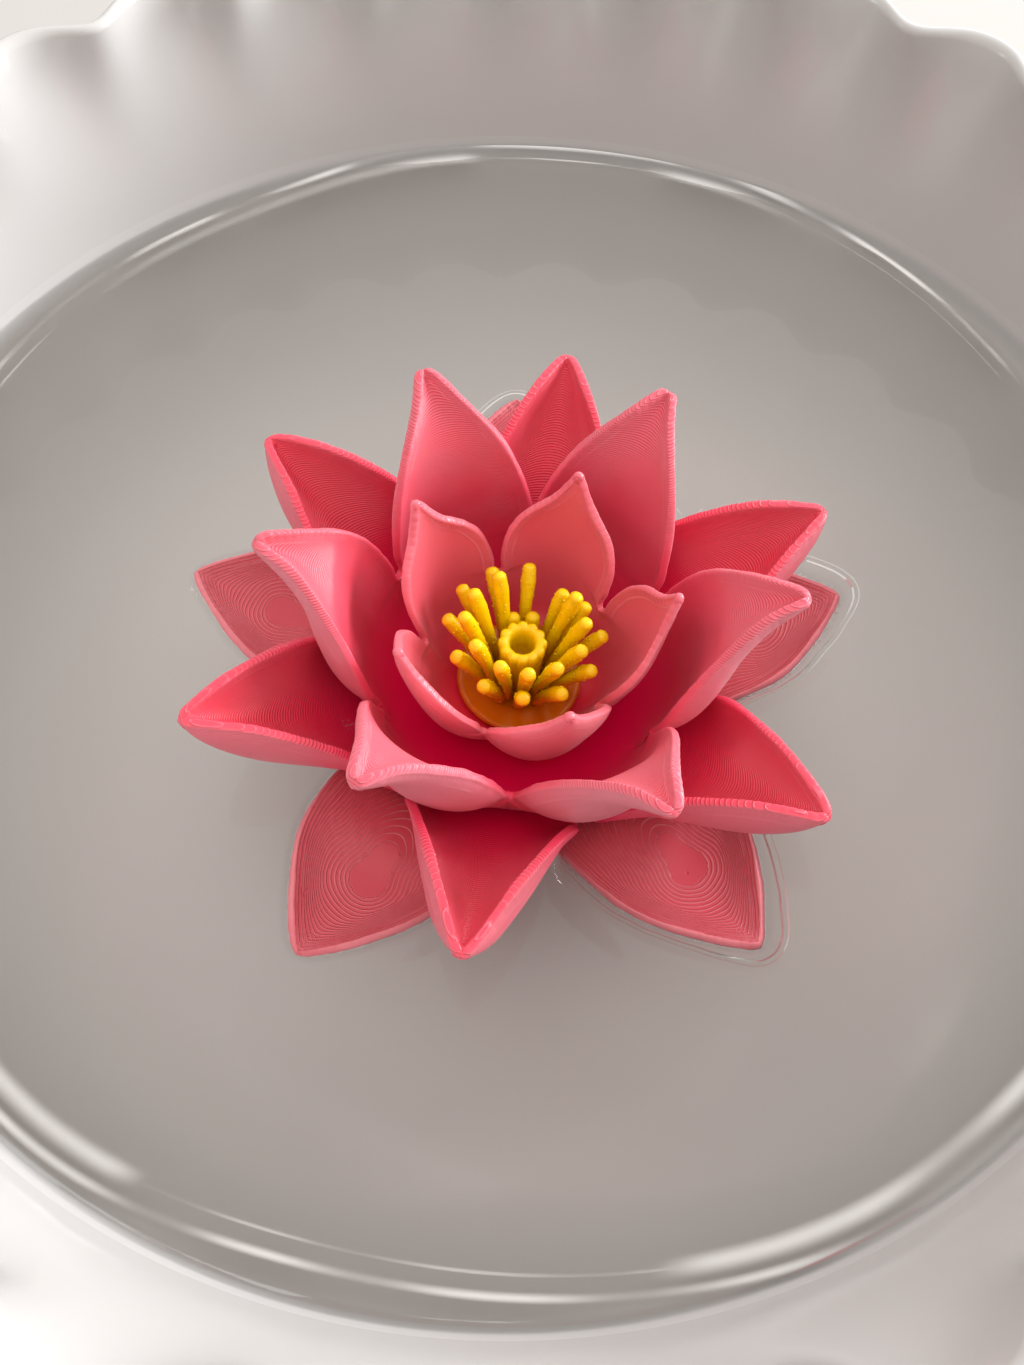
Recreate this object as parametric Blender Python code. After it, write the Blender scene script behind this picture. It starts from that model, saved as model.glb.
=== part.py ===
"""A lotus flower of five stacked pieces floating on the water in a white scalloped bowl.

Metres, +Z up. The bowl's axis is the world Z axis and its foot stands on z = 0. The flower floats
a little in front of the middle of the bowl, leaning slightly, with its lowest petals awash.
All lengths below are in millimetres until the meshes are written.
"""

import math

import bmesh
import bpy
import numpy as np

MM = 0.001

# ---- the bowl ----
BOWL_HEIGHT = 60.0
RIM_RADIUS = 82.8          # mean radius of the inside of the rim
RIM_LOBES = 28
RIM_WAVE = 2.2             # how far a lobe stands out from the mean rim, and a notch in
RIM_NOTCH_DEG = 52.7       # where one of the notches is
WALL = 3.0
FOOT_RADIUS = 41.0
FOOT_WIDTH = 4.0
FOOT_HEIGHT = 2.2
BOWL_SEGMENTS = 112        # round the scalloped part; half as many lower down

# ---- the water ----
WATER_LEVEL = 33.0
WATER_RADIUS = 76.9        # where the water meets the bowl
GAP = 0.3                  # left between pieces that rest on one another

# ---- where the flower floats ----
FLOWER_X = 1.6
FLOWER_Y = -12.7
LEAN_X_DEG = 1.3
LEAN_Y_DEG = 2.4

# ---- the four petal rings, lowest first ----
# keel: radius and height down the middle of a petal, hub to tip, the height from the water level.
# side: distance out, half width and height along a petal's free edge, from the notch to the tip.
# notch: radius and height of the point where two neighbours part.
# keel_notch: which keel point lies across from the notch.
RINGS = {
    "base_petals": dict(
        count=5, turn=19.1, wall=0.85, arc=56.0, belly=0.0, belly_at=(0.3, 1.0), belly_low=0.9,
        keel=[(8.9, -7.2), (12.5, -6.95), (16.0, -5.8), (20.0, -3.8), (24.2, -3.5), (28.8, -3.8),
              (33.0, -3.3), (36.6, -2.0), (39.2, -0.7)],
        keel_notch=2, notch=(16.0, -5.9), crease=[(12.0, -6.95)],
        side=[(14.1, 9.15, -5.6), (17.2, 9.1, -4.3), (22.5, 9.2, -2.1), (29.0, 7.9, -1.2), (35.0, 4.1, -0.95),
              (38.7, 0.75, -0.7)],
        sway=(-2.4, 0.0, 0.5, 1.7, 1.1), lift=(-0.4, 0.0, -0.2, 0.3, 0.1)),
    "outer_petals": dict(
        count=6, turn=22.5, wall=0.95, arc=84.0, belly=1.9, belly_at=(0.42, 0.98), belly_low=0.9,
        keel=[(8.4, -6.1), (11.5, -5.85), (15.0, -4.7), (18.5, -2.7), (22.0, -0.4), (26.0, 2.6), (30.0, 5.7),
              (33.5, 8.8), (35.8, 11.0)],
        keel_notch=2, notch=(16.8, -3.1), crease=[(12.2, -5.5)],
        side=[(15.5, 8.15, -3.0), (16.9, 8.7, -2.3), (18.3, 8.7, 0.5), (19.9, 8.0, 3.9), (23.2, 6.4, 7.5), (29.5, 3.4, 10.8),
              (35.2, 0.6, 11.2)],
        sway=(1.1, 0.0, 0.9, -0.1, -1.3, 0.7), lift=(0.3, 0.5, -0.4, 0.3, -0.3, -0.4)),
    "mid_petals": dict(
        count=6, turn=-4.2, wall=0.95, arc=76.0, belly=1.2, belly_at=(0.30, 0.98), belly_low=0.9,
        keel=[(7.9, -5.0), (11.0, -4.6), (14.6, -3.3), (17.3, -0.7), (18.8, 3.6), (19.6, 8.6), (20.9, 13.4), (23.7, 16.8),
              (27.2, 19.1)],
        keel_notch=3, notch=(16.9, 2.4), crease=[(12.4, -4.0), (16.0, -2.1)],
        side=[(14.95, 7.95, 2.75), (15.6, 8.15, 4.8), (17.1, 7.4, 9.4), (19.4, 5.6, 14.1), (23.6, 2.2, 18.4),
              (26.7, 0.55, 19.4)],
        sway=(-1.6, 1.6, -0.5, 1.3, 0.6, 1.2), lift=(1.1, -0.2, -0.3, 1.6, -0.9, -1.4)),
    "inner_petals": dict(
        count=5, turn=-3.0, wall=0.85, arc=64.0, belly=0.0, belly_at=(0.3, 1.0), belly_low=0.9,
        keel=[(7.4, -3.95), (9.2, -3.3), (10.9, -1.1), (12.2, 2.2), (13.2, 6.0), (13.9, 9.4), (14.4, 12.8), (14.9, 16.2)],
        keel_notch=3, notch=(10.5, 2.7), crease=[(8.9, -1.6)],
        side=[(8.95, 5.8, 3.05), (9.5, 6.05, 4.8), (10.7, 6.0, 7.3), (12.1, 5.0, 9.6), (13.8, 2.0, 12.7), (14.6, 0.5, 15.3)],
        sway=(-0.2, 1.9, 0.8, 0.3, 0.3), lift=(-0.6, 0.8, -1.0, 0.4, 0.4)),
}
SWAY_FROM = 12.0           # petals sway and lift only outside this radius ...
SWAY_OVER = 8.0            # ... growing to the full amount over this distance

# ---- the stamens, one yellow piece ----
DISC_RADIUS = 7.1
DISC_TOP = -2.5
DISC_THICK = 0.75
TUBE_RADIUS = 2.5
TUBE_BORE = 1.4
TUBE_TOP = 5.0
TUBE_LOBES = 12
STAMEN_RADIUS = 0.66
# where each stamen's end stands: direction from the axis, radius and height; two of the upper ring are stubs
LOW_RING = dict(root=3.7, ends=((86, 8.7, 6.4), (52, 7.0, 6.2), (29, 7.7, 6.4), (1, 8.5, 6.4), (-30, 8.3, 6.4), (-60, 8.1, 6.3),
                                (-90, 7.7, 6.3), (-123, 7.6, 6.3), (-157, 7.7, 6.4), (-191, 8.3, 6.4), (-219, 8.7, 6.4), (-246, 8.7, 6.4)))
HIGH_RING = dict(root=3.0, ends=((104, 4.1, 3.4), (74, 4.3, 3.4), (32, 6.5, 8.8), (2, 6.5, 8.8), (-28, 6.7, 8.8), (-57, 6.3, 8.7),
                                 (-86, 6.1, 8.7), (-115, 5.9, 8.7), (-150, 5.9, 8.8), (-184, 6.4, 8.8), (-212, 6.4, 8.8), (-244, 6.4, 8.8)))


def fresh_scene():
    for thing in list(bpy.data.objects):
        bpy.data.objects.remove(thing, do_unlink=True)


def material(name, colour, roughness, metallic=0.0, alpha=1.0):
    mat = bpy.data.materials.new(name)
    mat.use_nodes = True
    shader = mat.node_tree.nodes["Principled BSDF"]
    shader.inputs["Base Color"].default_value = (*colour, 1.0)
    shader.inputs["Roughness"].default_value = roughness
    shader.inputs["Metallic"].default_value = metallic
    shader.inputs["Alpha"].default_value = alpha
    return mat


def make_object(name, verts, faces, mat, smooth=True):
    mesh = bpy.data.meshes.new(name)
    mesh.from_pydata([tuple(float(c) * MM for c in v) for v in verts], [], [tuple(int(i) for i in f) for f in faces])
    work = bmesh.new()
    work.from_mesh(mesh)
    bmesh.ops.remove_doubles(work, verts=work.verts, dist=1e-6)
    bmesh.ops.triangulate(work, faces=work.faces)
    bmesh.ops.recalc_face_normals(work, faces=work.faces)
    work.to_mesh(mesh)
    work.free()
    for poly in mesh.polygons:
        poly.use_smooth = smooth
    mesh.materials.append(mat)
    thing = bpy.data.objects.new(name, mesh)
    bpy.context.scene.collection.objects.link(thing)
    return thing


# ---- curves ----
def through(points, where):
    """A smooth curve through the points, sampled at the fractional point numbers in where."""
    pts = np.array(points, float)
    knots = np.concatenate([[0.0], np.cumsum(np.linalg.norm(np.diff(pts, axis=0), axis=1) ** 0.5)])
    slope = np.zeros_like(pts)
    slope[0] = (pts[1] - pts[0]) / (knots[1] - knots[0])
    slope[-1] = (pts[-1] - pts[-2]) / (knots[-1] - knots[-2])
    for i in range(1, len(pts) - 1):
        before = (pts[i] - pts[i - 1]) / (knots[i] - knots[i - 1])
        after = (pts[i + 1] - pts[i]) / (knots[i + 1] - knots[i])
        share = (knots[i + 1] - knots[i]) / (knots[i + 1] - knots[i - 1])
        slope[i] = before * share + after * (1.0 - share)
    out = []
    for w in where:
        i = int(min(max(math.floor(w), 0), len(pts) - 2))
        x = w - i
        h = knots[i + 1] - knots[i]
        out.append((2 * x**3 - 3 * x**2 + 1) * pts[i] + (x**3 - 2 * x**2 + x) * h * slope[i]
                   + (-2 * x**3 + 3 * x**2) * pts[i + 1] + (x**3 - x**2) * h * slope[i + 1])
    return np.array(out)


def evenly(points, first, last, shares):
    """The curve through the points between two of them, at the given shares of its length."""
    fine = np.linspace(first, last, 240)
    line = through(points, fine)
    run = np.concatenate([[0.0], np.cumsum(np.linalg.norm(np.diff(line, axis=0), axis=1))])
    return through(points, np.interp(np.array(shares) * run[-1], run, fine))


def petal_grid(ring, crease_rows, free_rows, across):
    """Rows of points over the inside of one petal that points along +x, hub first; the last row is the tip."""
    half = math.pi / ring["count"]
    keel = ring["keel"]
    hub_r, hub_z = keel[0]
    edge = [(hub_r * math.cos(half), hub_r * math.sin(half), hub_z)]
    crease = edge + [(r * math.cos(half), r * math.sin(half), z) for r, z in ring["crease"] + [ring["notch"]]]
    tip = (keel[-1][0], 0.0, keel[-1][1])
    free = [crease[-1]] + list(ring["side"]) + [tip]
    low = np.linspace(0.0, 1.0, crease_rows + 1)
    high = np.linspace(0.0, 1.0, free_rows + 1)
    high = high + 0.10 * np.sin(high * math.pi) * high          # a little closer together at the tip
    k = np.concatenate([evenly(keel, 0, ring["keel_notch"], low),
                        evenly(keel, ring["keel_notch"], len(keel) - 1, high)[1:]])
    e = np.concatenate([evenly(crease, 0, len(crease) - 1, low), evenly(free, 0, len(free) - 1, high)[1:]])
    rows = len(k)
    grid = np.zeros((rows, across + 1, 3))
    for i in range(rows):
        grow = min(1.0, i / float(crease_rows))
        arc = half * (1.0 - grow) + math.radians(ring["arc"]) * grow
        for j in range(across + 1):
            u = -1.0 + 2.0 * j / across
            side = math.sin(arc * abs(u)) / math.sin(arc)
            rise = (1.0 - math.cos(arc * u)) / (1.0 - math.cos(arc))
            grid[i, j] = (k[i, 0] + (e[i, 0] - k[i, 0]) * rise,
                          math.copysign(e[i, 1] * side, u) if u else 0.0,
                          k[i, 1] + (e[i, 2] - k[i, 1]) * rise)
    return grid


def settle(points, sway_deg, lift_deg):
    """Turn a petal sideways and lift it, more and more towards its tip."""
    out = points.copy()
    radius = np.hypot(points[..., 0], points[..., 1])
    w = np.clip((radius - SWAY_FROM) / SWAY_OVER, 0.0, 1.0)
    w = w * w * (3 - 2 * w)
    a = np.radians(lift_deg) * w
    x, z = points[..., 0] - SWAY_FROM, points[..., 2] + 3.0
    out[..., 0] = SWAY_FROM + x * np.cos(a) - z * np.sin(a)
    out[..., 2] = -3.0 + x * np.sin(a) + z * np.cos(a)
    b = np.radians(sway_deg) * w
    x, y = out[..., 0].copy(), out[..., 1].copy()
    out[..., 0] = x * np.cos(b) - y * np.sin(b)
    out[..., 1] = x * np.sin(b) + y * np.cos(b)
    return out


def ring_surface(ring, crease_rows, free_rows, across):
    """The middle surface of a whole ring of petals with its hub floor: points, added thickness and faces."""
    base = petal_grid(ring, crease_rows, free_rows, across)
    rows, cols = base.shape[:2]
    index = {}
    verts, thick, faces = [], [], []

    def point(p, extra=0.0):
        key = tuple(np.round(p, 5))
        if key not in index:
            index[key] = len(verts)
            verts.append(p)
            thick.append(extra)
        return index[key]

    def extra_at(i, j):
        """How much the wall is thickened underneath here: most along the keel, nothing at the edges."""
        start, stop = ring["belly_at"]
        t = (i / (rows - 1.0) - start) / (stop - start)
        u = -1.0 + 2.0 * j / (cols - 1)
        if t <= 0.0 or t >= 1.0:
            return 0.0
        return ring["belly"] * math.sin(math.pi * t ** ring["belly_low"]) ** 0.8 * (1.0 - u * u) ** 1.2

    for n in range(ring["count"]):
        grid = settle(base, ring["sway"][n], ring["lift"][n])
        grid[: crease_rows + 1, 0] = base[: crease_rows + 1, 0]
        grid[: crease_rows + 1, -1] = base[: crease_rows + 1, -1]
        a = math.radians(ring["turn"] + n * 360.0 / ring["count"])
        turned = grid.copy()
        turned[..., 0] = grid[..., 0] * math.cos(a) - grid[..., 1] * math.sin(a)
        turned[..., 1] = grid[..., 0] * math.sin(a) + grid[..., 1] * math.cos(a)
        ids = [[point(turned[i, j], extra_at(i, j)) for j in range(cols)] for i in range(rows - 1)]
        tip = point(turned[-1, cols // 2])
        for i in range(rows - 2):
            for j in range(cols - 1):
                faces.append((ids[i][j], ids[i + 1][j], ids[i + 1][j + 1], ids[i][j + 1]))
        for j in range(cols - 1):
            faces.append((ids[-1][j], tip, ids[-1][j + 1]))
        middle = point(np.array([0.0, 0.0, ring["keel"][0][1]]))
        for j in range(cols - 1):
            faces.append((middle, ids[0][j], ids[0][j + 1]))
    return np.array(verts), np.array(thick), faces


def up_normals(verts, faces, passes):
    """A direction at every point, square to the surface and evened out with its neighbours."""
    total = np.zeros_like(verts)
    near = [set() for _ in verts]
    for f in faces:
        p = verts[list(f)]
        n = np.zeros(3)
        for i in range(len(f)):
            n += np.cross(p[i], p[(i + 1) % len(f)])
        for i, v in enumerate(f):
            total[v] += n
            near[v].add(f[(i + 1) % len(f)])
            near[v].add(f[i - 1])
    total /= np.linalg.norm(total, axis=1)[:, None] + 1e-12
    for _ in range(passes):
        mixed = np.array([total[v] + total[list(near[v])].mean(axis=0) for v in range(len(verts))])
        total = mixed / (np.linalg.norm(mixed, axis=1)[:, None] + 1e-12)
    return total


def shell(verts, thick, faces, wall, passes=3, round_edge=0.35):
    """A closed skin of the given thickness about an open surface, with a rounded free edge."""
    up = up_normals(verts, faces, passes)
    lower = verts - up * (wall * 0.58 + thick)[:, None]
    verts = verts + up * wall * 0.42
    count = len(verts)
    out_faces = [tuple(f) for f in faces] + [tuple(i + count for i in reversed(f)) for f in faces]
    used = {}
    for f in faces:
        for i in range(len(f)):
            used[(f[i], f[(i + 1) % len(f)])] = f
    rim = [(a, b) for (a, b) in used if (b, a) not in used]
    out_verts = list(verts) + list(lower)
    follow = {a: b for a, b in rim}
    before = {b: a for a, b in rim}
    edge_id = {}
    for a in follow:
        along = verts[follow[a]] - verts[before[a]]
        away = np.cross(along, up[a])
        away /= np.linalg.norm(away) + 1e-12
        edge_id[a] = len(out_verts)
        out_verts.append((verts[a] + lower[a]) / 2.0 + away * wall * round_edge)
    for a, b in rim:
        out_faces.append((b, a, edge_id[a], edge_id[b]))
        out_faces.append((edge_id[b], edge_id[a], a + count, b + count))
    return np.array(out_verts), out_faces


def float_place(points):
    """From the flower's own axis to where it floats in the bowl."""
    ax, ay = math.radians(LEAN_X_DEG), math.radians(LEAN_Y_DEG)
    rx = np.array([[1, 0, 0], [0, math.cos(ax), -math.sin(ax)], [0, math.sin(ax), math.cos(ax)]])
    ry = np.array([[math.cos(ay), 0, math.sin(ay)], [0, 1, 0], [-math.sin(ay), 0, math.cos(ay)]])
    return points @ (rx @ ry).T + np.array([FLOWER_X, FLOWER_Y, WATER_LEVEL])


# ---- bowl and water ----
def scallop(angle, height):
    """How much farther out the bowl is at this angle, from nothing at the water to the full wave at the rim."""
    t = min(1.0, max(0.0, (height - WATER_LEVEL) / (BOWL_HEIGHT - WATER_LEVEL)))
    phase = RIM_LOBES * (angle - math.radians(RIM_NOTCH_DEG))
    wave = -math.cos(phase) - 0.12 * math.cos(2 * phase) + 0.12
    return RIM_WAVE * wave * t**2.2


# radius and height up the inside of the bowl, then over the rim and down the outside to the foot
BOWL_INSIDE = [(0.0, 3.4), (30.0, 3.4), (46.0, 3.9), (54.3, 6.3), (62.2, 12.0), (68.4, 19.2), (72.9, 26.3),
               (WATER_RADIUS, WATER_LEVEL), (79.1, 40.5), (81.3, 49.5), (82.45, 56.4), (RIM_RADIUS, BOWL_HEIGHT - 0.9)]
BOWL_OUTSIDE = [(RIM_RADIUS + 1.15, BOWL_HEIGHT), (RIM_RADIUS + 2.45, BOWL_HEIGHT - 1.1), (85.0, 55.8), (84.0, 48.5),
                (82.1, 39.6), (79.7, 31.6), (75.0, 22.3), (69.5, 14.2), (62.0, 7.0), (53.0, 3.0), (45.6, 2.4)]


def bowl_mesh():
    profile = list(BOWL_INSIDE) + list(BOWL_OUTSIDE)
    profile += [(FOOT_RADIUS + FOOT_WIDTH / 2, FOOT_HEIGHT - 1.2), (FOOT_RADIUS + FOOT_WIDTH / 2 - 0.7, 0.0),
                (FOOT_RADIUS - FOOT_WIDTH / 2 + 0.7, 0.0), (FOOT_RADIUS - FOOT_WIDTH / 2 - 0.2, 0.9), (0.0, 1.1)]
    verts, faces, rings = [], [], []
    for r, z in profile:
        if r == 0.0:
            rings.append([len(verts)])
            verts.append((0.0, 0.0, z))
            continue
        ids = []
        count = BOWL_SEGMENTS if z > WATER_LEVEL - 2.0 else BOWL_SEGMENTS // 2
        for s in range(count):
            a = math.radians(RIM_NOTCH_DEG) + 2 * math.pi * s / count
            rr = r + scallop(a, z)
            ids.append(len(verts))
            verts.append((rr * math.cos(a), rr * math.sin(a), z))
        rings.append(ids)
    for one, two in zip(rings, rings[1:]):
        if len(one) == 1 or len(two) == 1:
            point, loop = (one[0], two) if len(one) == 1 else (two[0], one)
            for s in range(len(loop)):
                faces.append((point, loop[s], loop[(s + 1) % len(loop)]))
        elif len(one) == len(two):
            for s in range(len(one)):
                t = (s + 1) % len(one)
                faces.append((one[s], one[t], two[t], two[s]))
        else:
            few, many = (one, two) if len(one) < len(two) else (two, one)
            for s in range(len(few)):
                t = (s + 1) % len(few)
                faces.append((few[s], many[2 * s], many[2 * s + 1]))
                faces.append((few[s], many[2 * s + 1], few[t]))
                faces.append((few[t], many[2 * s + 1], many[2 * t]))
    return verts, faces


def wet_outline(clouds, count, clearance):
    """For evenly spaced directions from the flower's axis, how far out its parts lie below the water's skin."""
    reach = np.full(count, 18.0)
    for cloud in clouds:
        low = cloud[cloud[:, 2] < WATER_LEVEL + 1.2]
        x, y = low[:, 0] - FLOWER_X, low[:, 1] - FLOWER_Y
        r = np.hypot(x, y)
        a = np.arctan2(y, x)
        for radius, angle in zip(r, a):
            spread = max(math.radians(3.2), 1.5 / max(radius, 5.0))
            for s in range(count):
                d = (2 * math.pi * s / count - angle + math.pi) % (2 * math.pi) - math.pi
                if abs(d) <= spread:
                    reach[s] = max(reach[s], radius)
    return reach + clearance


def water_mesh(clouds):
    """Water filling the bowl to its level, with a hollow that keeps clear of the flower's wet parts."""
    count = 96
    reach = wet_outline(clouds, count, 1.1)
    even = reach.copy()
    for _ in range(1):
        even = np.maximum(reach, (np.roll(even, 1) + even + np.roll(even, -1)) / 3.0)
    reach = even
    under = []                                              # the hollow's floor, by share of the reach
    for share in (0.16, 0.28, 0.42, 0.58, 0.80, 1.0):
        under.append(share)
    low_points = np.concatenate(clouds)
    lx, ly = low_points[:, 0] - FLOWER_X, low_points[:, 1] - FLOWER_Y
    lr, la = np.hypot(lx, ly), np.arctan2(ly, lx)

    def floor_at(radius, spread):
        """The lowest the flower comes near this radius, anywhere round it."""
        near = np.abs(lr - radius) < spread
        return low_points[near, 2].min() - 0.45 if near.any() else WATER_LEVEL - 3.0

    depth_of = [(r, floor_at(r, 3.2)) for r in (0.0, 4.0, 8.0, 11.0, 14.0, 17.0, 20.0, 24.0, 28.0, 32.0, 36.0, 40.0, 44.0)]
    dr = np.array([d[0] for d in depth_of])
    dz = np.minimum.accumulate(np.array([d[1] for d in depth_of])[::-1])[::-1]
    verts, rings = [], []

    def add_ring(radii, heights, about_flower=True):
        ids = []
        for s in range(count):
            a = 2 * math.pi * s / count
            r = radii[s] if hasattr(radii, "__len__") else radii
            z = heights[s] if hasattr(heights, "__len__") else heights
            cx, cy = (FLOWER_X, FLOWER_Y) if about_flower else (0.0, 0.0)
            ids.append(len(verts))
            verts.append((cx + r * math.cos(a), cy + r * math.sin(a), z))
        rings.append(ids)

    rings.append([0])
    verts.append((FLOWER_X, FLOWER_Y, float(np.interp(0.0, dr, dz))))
    for share in under:
        radii = reach * share
        add_ring(radii, [float(np.interp(r, dr, dz)) for r in radii])
    add_ring(reach, WATER_LEVEL - 0.9)
    add_ring(reach, WATER_LEVEL)
    # out to the bowl: rings about the bowl's own axis, the skin first and then down the wall
    inside = np.array(BOWL_INSIDE)

    def wall_radius(z):
        return float(np.interp(z, inside[1:, 1], inside[1:, 0]))

    add_ring(wall_radius(WATER_LEVEL) - GAP - 0.15, WATER_LEVEL, about_flower=False)
    for z, back in ((26.3, 0.45), (19.2, 0.5), (12.0, 0.6), (6.3 + 0.15, 0.8)):
        add_ring(wall_radius(z) - back, z, about_flower=False)
    add_ring(45.6, 3.9 + 0.5, about_flower=False)
    add_ring(30.0, 3.4 + 0.4, about_flower=False)
    verts.append((0.0, 0.0, 3.4 + 0.4))
    rings.append([len(verts) - 1])
    faces = []
    for one, two in zip(rings, rings[1:]):
        for s in range(count):
            t = (s + 1) % count
            if len(one) == 1:
                faces.append((one[0], two[s], two[t]))
            elif len(two) == 1:
                faces.append((one[t], one[s], two[0]))
            else:
                faces.append((one[s], two[s], two[t], one[t]))
    return np.array(verts), faces


# ---- stamens ----
def tube_along(line, radii, sides=8):
    """A closed rod along a line of points, round at both ends."""
    verts, faces, rings = [], [], []
    line = np.array(line, float)
    tangents = np.gradient(line, axis=0)
    tangents /= np.linalg.norm(tangents, axis=1)[:, None]
    ref = np.array([0.0, 0.0, 1.0]) if abs(tangents[0][2]) < 0.9 else np.array([1.0, 0.0, 0.0])
    for p, t, r in zip(line, tangents, radii):
        b = np.cross(t, ref)
        b /= np.linalg.norm(b)
        n = np.cross(b, t)
        ref = n
        ids = []
        for s in range(sides):
            a = 2 * math.pi * s / sides
            ids.append(len(verts))
            verts.append(p + (b * math.cos(a) + n * math.sin(a)) * r)
        rings.append(ids)
    for one, two in zip(rings, rings[1:]):
        for s in range(sides):
            t = (s + 1) % sides
            faces.append((one[s], one[t], two[t], two[s]))
    faces.append(tuple(reversed(rings[0])))
    end = len(verts)
    verts.append(line[-1] + tangents[-1] * radii[-1] * 0.55)
    for s in range(sides):
        faces.append((rings[-1][s], rings[-1][(s + 1) % sides], end))
    return np.array(verts), faces


def stamen_line(root, end):
    """From the disc up and outwards; the last point is just short of the rounded end."""
    turn, tip, top = math.radians(end[0]), end[1], end[2]
    start = DISC_TOP - 0.45
    pts = []
    for t in (0.0, 0.3, 0.6, 0.88, 1.0):
        r = root + (tip - root) * t**1.15
        z = start + (top - start) * (1.0 - (1.0 - t) ** 1.08)
        pts.append((r * math.cos(turn), r * math.sin(turn), z))
    return pts


def stamens_object(mat):
    pieces = []
    # the disc
    sides = 48
    verts, faces = [], []
    for z in (DISC_TOP - DISC_THICK, DISC_TOP):
        for s in range(sides):
            a = 2 * math.pi * s / sides
            verts.append((DISC_RADIUS * math.cos(a), DISC_RADIUS * math.sin(a), z))
    for s in range(sides):
        t = (s + 1) % sides
        faces.append((s, t, t + sides, s + sides))
    faces.append(tuple(reversed(range(sides))))
    faces.append(tuple(range(sides, 2 * sides)))
    pieces.append((np.array(verts), faces))
    # the lobed tube with its blind bore
    around = TUBE_LOBES * 3
    verts, rings = [], []
    for radius, z, lobed in ((TUBE_RADIUS * 0.96, DISC_TOP - 0.4, 0.0), (TUBE_RADIUS, TUBE_TOP - 1.6, 0.5),
                             (TUBE_RADIUS * 1.04, TUBE_TOP - 0.25, 1.0), (TUBE_RADIUS * 0.82, TUBE_TOP, 0.8),
                             (TUBE_BORE * 1.02, TUBE_TOP - 0.3, 0.0), (TUBE_BORE * 0.94, 0.6, 0.0)):
        ids = []
        for s in range(around):
            a = 2 * math.pi * s / around
            r = radius + 0.14 * lobed * math.cos(TUBE_LOBES * a)
            ids.append(len(verts))
            verts.append((r * math.cos(a), r * math.sin(a), z))
        rings.append(ids)
    faces = []
    for one, two in zip(rings, rings[1:]):
        for s in range(around):
            t = (s + 1) % around
            faces.append((one[s], one[t], two[t], two[s]))
    faces.append(tuple(reversed(rings[0])))
    faces.append(tuple(rings[-1]))
    pieces.append((np.array(verts), faces))
    for ring in (LOW_RING, HIGH_RING):
        for end in ring["ends"]:
            pieces.append(tube_along(stamen_line(ring["root"], end), [STAMEN_RADIUS * f for f in (1.0, 0.95, 0.97, 1.18, 0.9)]))
    things = []
    for i, (v, f) in enumerate(pieces):
        things.append(make_object("stamen_part_%02d" % i, float_place(v), f, mat))
    body = things[0]
    for other in things[1:]:
        join = body.modifiers.new("join", "BOOLEAN")
        join.operation = "UNION"
        join.solver = "EXACT"
        join.object = other
        other.hide_render = True
        other.display_type = "WIRE"
        deps = bpy.context.evaluated_depsgraph_get()
        mesh = bpy.data.meshes.new_from_object(body.evaluated_get(deps))
        body.modifiers.clear()
        old = body.data
        body.data = mesh
        bpy.data.meshes.remove(old)
        bpy.data.objects.remove(other, do_unlink=True)
    work = bmesh.new()
    work.from_mesh(body.data)
    bmesh.ops.remove_doubles(work, verts=work.verts, dist=2e-6)
    bmesh.ops.dissolve_degenerate(work, edges=work.edges, dist=2e-6)
    bmesh.ops.triangulate(work, faces=work.faces)
    bmesh.ops.recalc_face_normals(work, faces=work.faces)
    work.to_mesh(body.data)
    work.free()
    body.name = "stamens"
    body.data.name = "stamens"
    for poly in body.data.polygons:
        poly.use_smooth = True
    return body


def build():
    fresh_scene()
    glaze = material("bowl_glaze", (0.86, 0.86, 0.84), 0.12)
    water = material("water", (0.62, 0.64, 0.64), 0.05, alpha=0.35)
    pinks = {
        "base_petals": material("petal_base", (0.60, 0.16, 0.19), 0.38),
        "outer_petals": material("petal_outer", (0.78, 0.08, 0.12), 0.32),
        "mid_petals": material("petal_mid", (0.82, 0.09, 0.14), 0.30),
        "inner_petals": material("petal_inner", (0.86, 0.14, 0.17), 0.30),
    }
    yellow = material("stamen_yellow", (0.83, 0.47, 0.02), 0.33)
    v, f = bowl_mesh()
    make_object("bowl", v, f, glaze)
    clouds = []
    for name, ring in RINGS.items():
        rows = {"base_petals": (3, 8, 6), "outer_petals": (3, 9, 8), "mid_petals": (4, 9, 8), "inner_petals": (3, 9, 8)}[name]
        inner, thick, faces = ring_surface(ring, *rows)
        v, f = shell(inner, thick, faces, ring["wall"])
        placed = float_place(v)
        make_object(name, placed, f, pinks[name])
        clouds.append(placed)
    stamens_object(yellow)
    v, f = water_mesh(clouds)
    make_object("water", v, f, water)


build()
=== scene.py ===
"""Looks for the lotus flower in its bowl: a layer-printed lotus floating on still water in a white scalloped bowl.

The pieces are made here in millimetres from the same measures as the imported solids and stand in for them.
"""

import math

import bpy
import numpy as np
from mathutils import Matrix, Vector
from mathutils.geometry import delaunay_2d_cdt


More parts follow.
